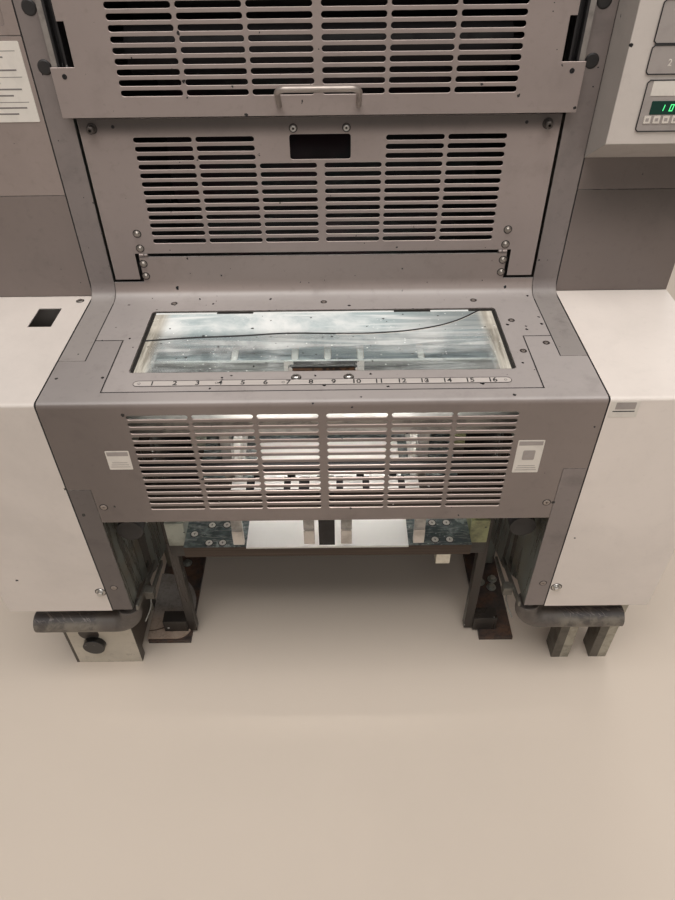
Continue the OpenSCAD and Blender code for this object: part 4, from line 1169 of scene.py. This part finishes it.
def inked_joints():
    """Ink that fills the joints round the window's sheet."""
    ear, strip, step, post = 0.313, 0.027, 0.164, 0.3565
    half = 0.0008
    bm = bmesh.new()
    for x0, x1, y0, y1 in (
        (-ear, ear, strip, strip), (ear, ear, strip, step), (-ear, -ear, strip, step),
        (ear, post, step, step), (-post, -ear, step, step),
        (post, post, 0.107, 0.281), (-post, -post, 0.107, 0.281),
    ):
        wide = half if x0 == x1 or y0 == strip else 0
        deep = half if y0 == y1 else 0
        bar(bm, spot(x0 - wide, y0 - deep, 0.0), spot(x1 + wide, y1 + deep, 0.00008))
    finish_piece("inked_joints", bm, "black_paint", "dark_print")


def fasteners(
    name, head, points, way=FORWARD, body="machine", material="bright_steel", slot="bright_steel",
    grime=0.0017,
):
    """Like heads on one body, joined into one piece, with a dark ring round each, dirt and painted shade at
    its foot.
    """
    stamped = [(name, head, slot, material)]
    if grime:
        # A dark ring round each head, dirt and painted shade at its foot
        inner = max(vert.co.xy.length for vert in head.vertices)
        outer = inner + grime
        ring = bmesh.new()
        lathe(ring, [(inner * 0.9, 0), (outer, 0), (outer - 0.0002, 0.0002), (inner * 0.9, 0.0002)])
        stamped.append((name + "_grime", template("grime_ring", ring), "black_paint", "screw_grime"))
    for title, mesh, kind, finish in stamped:
        bm = bmesh.new()
        for point in points:
            stamp(bm, mesh, facing(point, way))
        finish_piece(title, bm, kind, finish, body)


# Where the fittings sit, from the delivery's face and the deck
DECK_SCREWS = [(-0.253, 0.279), (0, 0.279), (0.253, 0.279), (0.304, 0.212), (0.304, 0.122), (0.344, 0.144)]
BOARD_SCREWS = [
    (-0.219, 0.125), (-0.191, 0.125), (-0.249, 0.103), (-0.219, 0.081), (-0.194, 0.081),
    (0.198, 0.125), (0.225, 0.125), (0.199, 0.083), (0.226, 0.083),
]
PLATE_BOLTS = [(0.350, 0.234), (0.379, 0.242), (0.373, 0.219), (-0.345, 0.300), (-0.375, 0.300)]
CRACK = [
    (-0.280, 0.164), (-0.215, 0.171), (-0.130, 0.176), (-0.057, 0.182), (0.020, 0.180), (0.092, 0.181),
    (0.166, 0.194), (0.215, 0.215), (0.256, 0.246),
]
HINGE_X = 0.300
BOARD_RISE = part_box("pile_board")[1].z - DECK_Z
# Dark fill for a socket, dirt and painted shade
SOCKET_FILL = {"material": "screw_grime", "slot": "black_paint", "grime": 0}
# Dark discs in place of holes, a painted shade
HOLE_SHADE = {"material": "dark_print", "slot": "black_plastic", "grime": 0}


class PRESS_OT_stage(bpy.types.Operator):
    """Sets up the plain floor, the soft lamps and the camera."""

    bl_idname = "press.stage"
    bl_label = "Stage"

    def execute(self, context):
        stage = context.scene.press_stage
        bm = bmesh.new()
        bmesh.ops.create_grid(bm, x_segments=1, y_segments=1, size=9)
        floor = new_object("floor", mesh_of("floor", bm))
        made = Finish("floor", 0.85)
        made.body = made.blend(made.soiling(1.2, 0.3, 0.8), stage.floor, shade(stage.floor, 0.95))
        self.horizon(made)
        floor.data.materials.append(made.done())
        self.lamp("overhead", (0.1, -1.9, 4.1), (0, -1.2, 0.7), (3.6, 1.6), stage.overhead)
        self.lamp("front", (-0.3, -2.8, 3.9), (0, -0.9, 0.9), (2.6, 0.6), stage.front)
        self.lamp("fill", (0.9, -4.4, 2.5), (0, -1.0, 0.4), (2.6, 1.0), stage.fill)
        for depth, rise, lean, share in (
            (0.030, -0.100, 0.0, 0.12), (0.088, -0.045, 0.0, 0.10), (0.200, -0.080, 0.8, 1.5),
        ):
            place = spot(0, depth, rise)
            self.lamp("bay", place, place + Vector((0, lean, -1)), (0.30, 0.02), stage.bay * share)
        self.lamp("back", (0.8, 2.6, 4.0), (0, 0.6, 0.8), (3.0, 1.6), stage.back)
        self.surroundings(context)
        self.camera(context, stage.lens)
        context.scene.view_settings.view_transform = "Standard"
        return {"FINISHED"}

    def horizon(self, made):
        """Lets the far floor run out into the backdrop, for the camera alone."""
        near, far = 2.6, 6.0
        seen = add(made.tree, "ShaderNodeLightPath").outputs["Is Camera Ray"]
        share = made.distance((0, 0, 0)).ramp(near, far) * seen
        glow = add(made.tree, "ShaderNodeEmission", {"Color": BACKDROP})
        swap_shader(made.tree, share, made.shader, glow)

    def lamp(self, name, place, target, size, energy):
        """A soft lamp that points at a target."""
        data = bpy.data.lights.new(name, "AREA")
        data.shape = "RECTANGLE"
        data.size, data.size_y = size
        data.energy = energy
        data.color = (1.0, 0.965, 0.925)
        lamp = new_object(name, data)
        lamp.visible_camera = False
        aim = Vector(target) - Vector(place)
        lamp.matrix_world = Matrix.Translation(place) @ aim.to_track_quat("-Z", "Y").to_matrix().to_4x4()

    def surroundings(self, context):
        """Even light from all sides, seen as a pale backdrop."""
        world = bpy.data.worlds.new("studio")
        world.use_nodes = True
        tree = world.node_tree
        light = tree.nodes["Background"]
        light.inputs["Color"].default_value = (1.0, 0.975, 0.95, 1)
        light.inputs["Strength"].default_value = 0.27
        pale = add(tree, "ShaderNodeBackground", {"Color": BACKDROP})
        swap_shader(tree, "Is Camera Ray", light, pale, "World Output")
        context.scene.world = world

    def camera(self, context, lens):
        """Looks down on the delivery end from a standing person's height."""
        pitch, yaw, roll = math.radians(41.29), math.radians(-0.089), math.radians(-0.701)
        data = bpy.data.cameras.new("camera")
        data.lens = lens
        camera = new_object("camera", data)
        turn = Matrix.Rotation(-yaw, 4, "Z") @ Matrix.Rotation(math.pi / 2 - pitch, 4, "X")
        place = Matrix.Translation(spot(0.0218, -0.7415, 0.5623))
        camera.matrix_world = place @ turn @ Matrix.Rotation(roll, 4, "Z")
        context.scene.camera = camera


class PRESS_OT_finish_frame(bpy.types.Operator):
    """Gives every piece of the frame its finish."""

    bl_idname = "press.finish_frame"
    bl_label = "Finish the frame"

    def execute(self, context):
        MATERIALS.update(make_finishes(context.scene.press_colours))
        finishes = {name: finish for finish, names in FINISHES.items() for name in names.split()}
        unknown = set(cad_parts) ^ set(finishes)
        if unknown:
            raise RuntimeError(f"pieces without a finish, or finishes without a piece: {sorted(unknown)}")
        for name, finish in finishes.items():
            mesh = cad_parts[name].data
            mesh.materials.clear()
            mesh.materials.append(MATERIALS[finish])
        return {"FINISHED"}


class PRESS_OT_screws(bpy.types.Operator):
    """Adds the screws, bolts and rivets of the sheets, and the ink in the deck's joints."""

    bl_idname = "press.screws"
    bl_label = "Screws and rivets"

    def execute(self, context):
        sizes = context.scene.press_fittings
        flat, rivet = cross_head(sizes.screw * 1.1), dome_head(sizes.rivet)
        inked_joints()
        deck = [spot(x, depth, 0) for x, depth in DECK_SCREWS]
        fasteners("deck_screws", cross_head(sizes.screw * 0.62), deck, UP, material="drawn_rod", grime=0.0026)
        near = pair(0.038, 0.059, 0)
        fasteners("window_screws", button_head(sizes.screw * 1.25), near, UP)
        fasteners("window_screw_dirt", socket_dirt(sizes.screw * 1.25), near, UP, **SOCKET_FILL)
        face = [*pair(0.350, 0, -0.204), spot(-0.381, 0, -0.410), spot(0.384, 0, -0.410)]
        fasteners("face_screws", flat, face, material="drawn_rod")
        fasteners("cabinet_bolts", hex_bolt(0.010, 0.006), [spot(x, 0, -0.422) for x in (-0.4075, 0.410)])
        fasteners("cabinet_screw", flat, [spot(-0.416, 0.292, 0)], UP)
        lip = pair(HINGE_X, TOWER_DEPTH, 0.058) + pair(HINGE_X, TOWER_DEPTH, 0.036)
        leaf = pair(HINGE_X, TOWER_DEPTH, 0.110) + pair(HINGE_X, TOWER_DEPTH, 0.085)
        fasteners("lip_rivets", rivet, lip, material="rivet_steel")
        guard = {"body": "middle_guard"}
        fasteners("middle_guard_rivets", rivet, leaf, material="rivet_steel", **guard)
        caps = pair(0.039, TOWER_DEPTH, 0.2675)
        fasteners("middle_guard_screws", button_head(sizes.screw), caps, **guard)
        fasteners("middle_guard_screw_dirt", socket_dirt(sizes.screw), caps, **guard, **SOCKET_FILL)
        # Painted shade: dark discs in place of the small holes
        holes = pair(0.302, TOWER_DEPTH, 0.272)
        fasteners("middle_guard_plugs", cross_head(0.005), holes, **guard, **HOLE_SHADE)
        bolts = pair(0.333, TOWER_DEPTH, 0.270)
        fasteners("middle_guard_bolts", self.stop_bolt(), bolts, material="dark_metal", **guard)
        # Painted shade: dark discs in place of the upper guard's holes
        blind = pair(0.349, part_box("upper_guard")[0].y - FACE_Y, 0.341)
        fasteners("upper_guard_plugs", cross_head(0.007), blind, body="upper_guard", **HOLE_SHADE)
        return {"FINISHED"}

    def stop_bolt(self):
        """A bolt that stands out on its neck."""
        bm = bmesh.new()
        lathe(bm, [(0.0062, 0), (0.0062, 0.002), (0.0035, 0.002), (0.0035, 0.0075), (0.0055, 0.0075)])
        lathe(bm, [(0.0055, 0.0075), (0.0055, 0.0105), (0.0045, 0.0118), (0.0030, 0.0118)])
        recess(bm, 6, 0.0022, 1.0, 0.0118, 0.002)
        return template("stop_bolt", bm)


class PRESS_OT_ink_scale(bpy.types.Operator):
    """Adds the numbers, marks and rim of the ink zone scale."""

    bl_idname = "press.ink_scale"
    bl_label = "Ink scale"

    def execute(self, context):
        sizes = context.scene.press_fittings
        top = STRIP_HIGH.z
        middle = (STRIP_LOW.y + STRIP_HIGH.y) / 2
        bm = bmesh.new()
        for zone in range(sizes.zones):
            x = (zone - (sizes.zones - 1) / 2) * sizes.zone
            stamp(bm, text_mesh(str(zone + 1), sizes.numeral), Matrix.Translation((x, middle, top)))
        ring = bmesh.new()
        inner, outer = 0.0016, 0.0022
        lathe(ring, [(inner, 0), (outer, 0), (outer, PRINT_THICK), (inner, PRINT_THICK), (inner, 0)], 14)
        mark = template("scale_mark", ring)
        for x in (-0.2625, 0.2625, -0.1515, -0.0560, 0.1480):
            stamp(bm, mark, Matrix.Translation((x, middle, top)))
        finish_piece("scale_numbers", bm, "black_paint", "dark_print")
        half = (STRIP_HIGH.y - STRIP_LOW.y) / 2
        end = STRIP_HIGH.x - half
        turns = [math.radians(-90 + 30 * step) for step in range(7)]
        right = [(end + half * math.cos(turn), middle + half * math.sin(turn), top) for turn in turns]
        left = [(-x, 2 * middle - y, z) for x, y, z in right]
        bm = bmesh.new()
        stamp(bm, curve_mesh([*right, *left, right[0]], 0.0004, smooth=False))
        finish_piece("scale_rim", bm, "black_paint", "dark_print")
        return {"FINISHED"}


class PRESS_OT_pane_crack(bpy.types.Operator):
    """Adds the powder on the window pane and the crack across it."""

    bl_idname = "press.pane_crack"
    bl_label = "Pane powder and crack"

    def execute(self, context):
        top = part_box("window_pane")[1].z - DECK_Z
        bm = bmesh.new()
        plate(bm, 0.566, 0.176, PRINT_THICK, 0.005, Matrix.Translation(spot(0, 0.164, top + 0.0001)))
        finish_piece("pane_film", bm, "pane", "pane_film")
        points = [spot(x, depth, top + 0.0004) for x, depth in CRACK]
        bm = bmesh.new()
        stamp(bm, curve_mesh(points, 0.0015))
        finish_piece("pane_crack", bm, "black_paint", "dark_print")
        bm = bmesh.new()
        stamp(bm, curve_mesh([point - Vector((0, 0.0019, 0.0002)) for point in points[4:]], 0.0004))
        finish_piece("pane_crack_edge", bm, "white_plastic", "plate_plastic")
        return {"FINISHED"}


class PRESS_OT_plates(bpy.types.Operator):
    """Adds the bare stickers and the ruled placard."""

    bl_idname = "press.plates"
    bl_label = "Plates"

    def execute(self, context):
        labels = ((-0.3035, -0.1045, 0.035, 0.037), (0.3035, -0.106, 0.039, 0.064))
        bm = bmesh.new()
        for x, rise, width, height in labels:
            plate(bm, width, height, STICKER_THICK, 0.0015, standing(spot(x, 0, rise)))
        plate(bm, 0.040, 0.028, STICKER_THICK, 0.001, standing(spot(0.422, 0, -0.019)))
        finish_piece("stickers", bm, "white_plastic", "plate_plastic")
        bm = bmesh.new()
        for x, rise, width, height in labels:
            self.block(bm, x, rise + height / 2 - 0.006, width * 0.9, 0.0078, 0.0005)
            for line in range(3):
                low = rise - height / 2 + 0.0055 + line * 0.0042
                self.block(bm, x, low, width * (0.82 - 0.08 * line), 0.0012, 0.0002)
        self.block(bm, 0.3035, -0.103, 0.018, 0.019, 0.002)
        self.block(bm, 0.423, -0.013, 0.028, 0.012, 0.001)
        finish_piece("sticker_blocks", bm, "panel_plastic", "panel_plastic")
        bm = bmesh.new()
        self.block(bm, 0.422, -0.0225, 0.031, 0.0018, 0.0004)
        finish_piece("sticker_line", bm, "panel_plastic", "dark_print")
        self.placard(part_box("tower_panels")[0].x + 0.022, -0.405)
        return {"FINISHED"}

    def block(self, bm, x, rise, width, height, corner):
        """A plain printed block on a sticker."""
        plate(bm, width, height, PRINT_THICK, corner, standing(spot(x, -STICKER_THICK, rise)))

    def placard(self, left, right):
        """A placard with bars for its lines of text."""
        thick = 0.0008
        bm = bmesh.new()
        place = standing(spot((left + right) / 2, TOWER_DEPTH, 0.331))
        plate(bm, right - left, 0.102, thick, 0.002, place)
        finish_piece("placard", bm, "white_plastic", "plate_plastic")
        front = TOWER_DEPTH - thick
        bm = bmesh.new()
        for line in range(11):
            rise = 0.370 - line * 0.0080
            ends, high = [(0.008, 0.155)], 0.0008
            if line % 4:
                ends, high = [(0.008, 0.070), (0.078, 0.150 - 0.014 * (line % 3))], 0.0021
            for start, end in ends:
                bar(bm, spot(left + start, front - PRINT_THICK, rise), spot(left + end, front, rise + high))
        finish_piece("placard_lines", bm, "panel_plastic", "line_print")


class PRESS_OT_display(bpy.types.Operator):
    """Adds the display, its digits and the small plates of the control box."""

    bl_idname = "press.display"
    bl_label = "Display"

    def execute(self, context):
        low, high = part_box("control_panel")
        width = high.x - low.x - 0.024
        centre = low.x + 0.0185 + width / 2
        level = 0.3076
        bm = bmesh.new()
        self.label(bm, centre, level, width, 0.017)
        finish_piece("display_glass", bm, "black_plastic", "display_glass")
        bm = bmesh.new()
        self.label(bm, centre, 0.3312, width + 0.010, 0.0180)
        self.label(bm, centre + 0.03, 0.415, width * 0.5, 0.012)
        finish_piece("panel_labels", bm, "white_plastic", "plate_plastic")
        bm = bmesh.new()
        stamp(bm, text_mesh("2", 0.011), standing(Vector((0.4555, PANEL_Y, DECK_Z + 0.3610))))
        finish_piece("panel_number", bm, "white_plastic", "plate_plastic")
        self.digits(context.scene.press_fittings.digit, centre - width / 2 + 0.0135, DECK_Z + level)
        self.outlines(low.x, high.x)
        self.key_marks()
        return {"FINISHED"}

    def label(self, bm, x, rise, width, height):
        """A plate on the control panel."""
        plate(bm, width, height, PLATE_THICK, 0.001, standing(Vector((x, PANEL_Y, DECK_Z + rise))))

    def digits(self, height, start, level):
        """Seven-segment digits, leaning a little."""
        lit = {"1": "bc", "0": "abcdef"}
        pitch = 0.0122
        wide, line, lean = height * 0.5, height * 0.14, 0.16
        half = height / 2
        bars = {
            "a": (0, height, True), "d": (0, 0, True), "f": (0, half, False),
            "b": (wide, half, False), "e": (0, 0, False), "c": (wide, 0, False),
        }
        bm = bmesh.new()
        for place, digit in enumerate("1000"):
            for name in lit[digit]:
                x, z, flat = bars[name]
                x -= line / 2
                z -= line / 2 if flat else 0
                size = (wide + line, line) if flat else (line, half)
                verts = bar(bm, (x, -0.0007, z), (x + size[0], -PLATE_THICK, z + size[1]))
                for vert in verts:
                    vert.co.x += vert.co.z * lean
                bmesh.ops.translate(bm, verts=verts, vec=(start + place * pitch, PANEL_Y, level - half))
        finish_piece("display_digits", bm, "key_plastic", "digit_light")

    def outlines(self, left, right):
        """Dark rims round the control plates."""
        cut = 0.003
        bm = bmesh.new()
        for low, high, inset in ((0.278, 0.341, 0.006), (0.348, 0.381, 0.0), (0.383, 0.430, 0.0)):
            x0, x1, z0, z1 = left + inset, right, DECK_Z + low, DECK_Z + high
            corners = [
                (x0 + cut, z0), (x1 - cut, z0), (x1, z0 + cut), (x1, z1 - cut),
                (x1 - cut, z1), (x0 + cut, z1), (x0, z1 - cut), (x0, z0 + cut), (x0 + cut, z0),
            ]
            stamp(bm, curve_mesh([(x, PANEL_Y, z) for x, z in corners], 0.0008, smooth=False))
        finish_piece("panel_rims", bm, "black_paint", "dark_print")

    def key_marks(self):
        """A small plain mark on each key."""
        low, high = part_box("control_keys")
        first, pitch, half = low.x + 0.00475, 0.0126, 0.0021
        z = (low.z + high.z) / 2
        bm = bmesh.new()
        for key in range(10):
            x = first + key * pitch
            bar(bm, (x - half, low.y - PRINT_THICK, z - half), (x + half, low.y, z + half))
        finish_piece("key_marks", bm, "panel_plastic", "panel_plastic")


class PRESS_OT_board_fittings(bpy.types.Operator):
    """Adds the screws on the pile board."""

    bl_idname = "press.board_fittings"
    bl_label = "Board fittings"

    def execute(self, context):
        places = [spot(x, depth, BOARD_RISE) for x, depth in BOARD_SCREWS]
        fasteners("board_screws", cross_head(0.013), places, UP, "pile", "plate_plastic")
        return {"FINISHED"}


class PRESS_OT_foot_fittings(bpy.types.Operator):
    """Adds the bolts, links and pad round the feet."""

    bl_idname = "press.foot_fittings"
    bl_label = "Foot fittings"

    def execute(self, context):
        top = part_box("floor_plates")[1].z
        plates = [Vector((x, FACE_Y + depth, top)) for x, depth in PLATE_BOLTS]
        fasteners("plate_bolts", hex_bolt(0.013, 0.007), plates, UP, material="dull_steel")
        self.links()
        self.pad(top)
        return {"FINISHED"}

    def links(self):
        """Flat link bars with a clevis and a bent strap, from the tube stubs back along the side frames."""
        bm = bmesh.new()
        for side in (-1, 1):
            self.link_bar(bm, side * 0.3545, (0.005, -0.478), (0.140, -0.510))
            self.link_bar(bm, side * 0.3405, (0.058, -0.497), (0.140, -0.510))
            near, far = sorted((side * 0.335, side * 0.352))
            bar(bm, spot(near, 0.045, -0.505), spot(far, 0.062, -0.485))
            strap = ((0.343, 0.050, -0.503), (0.342, 0.034, -0.514), (0.350, 0.010, -0.528))
            stamp(bm, curve_mesh([spot(side * x, depth, rise) for x, depth, rise in strap], 0.0014))
        finish_piece("foot_links", bm, "bright_steel", "link_steel")

    def link_bar(self, bm, x, start, end):
        """One flat bar, 5 by 11 mm, between two places of depth and rise."""
        run, rise = end[0] - start[0], end[1] - start[1]
        middle = spot(x, (start[0] + end[0]) / 2, (start[1] + end[1]) / 2)
        place = Matrix.Translation(middle) @ Matrix.Rotation(math.atan2(rise, run), 4, "X")
        size = Matrix.Diagonal((0.005, math.hypot(run, rise), 0.011, 1))
        made = bmesh.ops.create_cube(bm, size=1.0, matrix=place @ size)
        round_off(bm, list({edge for vert in made["verts"] for edge in vert.link_edges}), 0.0008, 2)

    def pad(self, top):
        """Round-backed pad on the left floor plate."""
        thick = 0.005
        bm = bmesh.new()
        bmesh.ops.create_grid(bm, x_segments=1, y_segments=1, size=0.5)
        place = Matrix.Translation((-0.352, FACE_Y + 0.1775, top)) @ Matrix.Diagonal((0.092, 0.175, 1, 1))
        bmesh.ops.transform(bm, matrix=place, verts=bm.verts)
        for depth, radius in ((0.265, 0.088), (0.090, 0.030)):
            corner = Vector((-0.306, FACE_Y + depth, top))
            vert = min(bm.verts, key=lambda vert: (vert.co - corner).length)
            round_off(bm, [vert], radius, 14, "VERTICES")
        raise_by(bm, bmesh.ops.extrude_face_region(bm, geom=bm.faces[:]), thick)
        bmesh.ops.recalc_face_normals(bm, faces=bm.faces)
        finish_piece("floor_pad", bm, "rusty_plate", "floor_pad")


STEPS = [
    PRESS_OT_stage,
    PRESS_OT_finish_frame,
    PRESS_OT_screws,
    PRESS_OT_ink_scale,
    PRESS_OT_pane_crack,
    PRESS_OT_plates,
    PRESS_OT_display,
    PRESS_OT_board_fittings,
    PRESS_OT_foot_fittings,
]


class PRESS_PT_sidebar(bpy.types.Panel):
    """Lists the press's sizes, colours and steps."""

    bl_idname = "PRESS_PT_sidebar"
    bl_label = "Printing press"
    bl_space_type = "VIEW_3D"
    bl_region_type = "UI"
    bl_category = "Press"

    def draw(self, context):
        for group in (context.scene.press_colours, context.scene.press_fittings, context.scene.press_stage):
            column = self.layout.column()
            for name in group.bl_rna.properties.keys():
                if name not in ("rna_type", "name"):
                    column.prop(group, name)
        for step in STEPS:
            self.layout.operator(step.bl_idname)


GROUP_TYPES = {"press_colours": PressColours, "press_fittings": PressFittings, "press_stage": PressStage}


def register():
    """Registers the classes and hangs the settings on the scene."""
    for kind in [*GROUP_TYPES.values(), *STEPS, PRESS_PT_sidebar]:
        bpy.utils.register_class(kind)
    for name, kind in GROUP_TYPES.items():
        setattr(bpy.types.Scene, name, PointerProperty(type=kind))


def unregister():
    """Takes the settings and classes away again."""
    for name in GROUP_TYPES:
        delattr(bpy.types.Scene, name)
    for kind in [PRESS_PT_sidebar, *reversed(STEPS), *GROUP_TYPES.values()]:
        bpy.utils.unregister_class(kind)


def main():
    """Runs every step in order."""
    register()
    for step in STEPS:
        group, name = step.bl_idname.split(".")
        getattr(getattr(bpy.ops, group), name)()


if __name__ == "__main__":
    main()
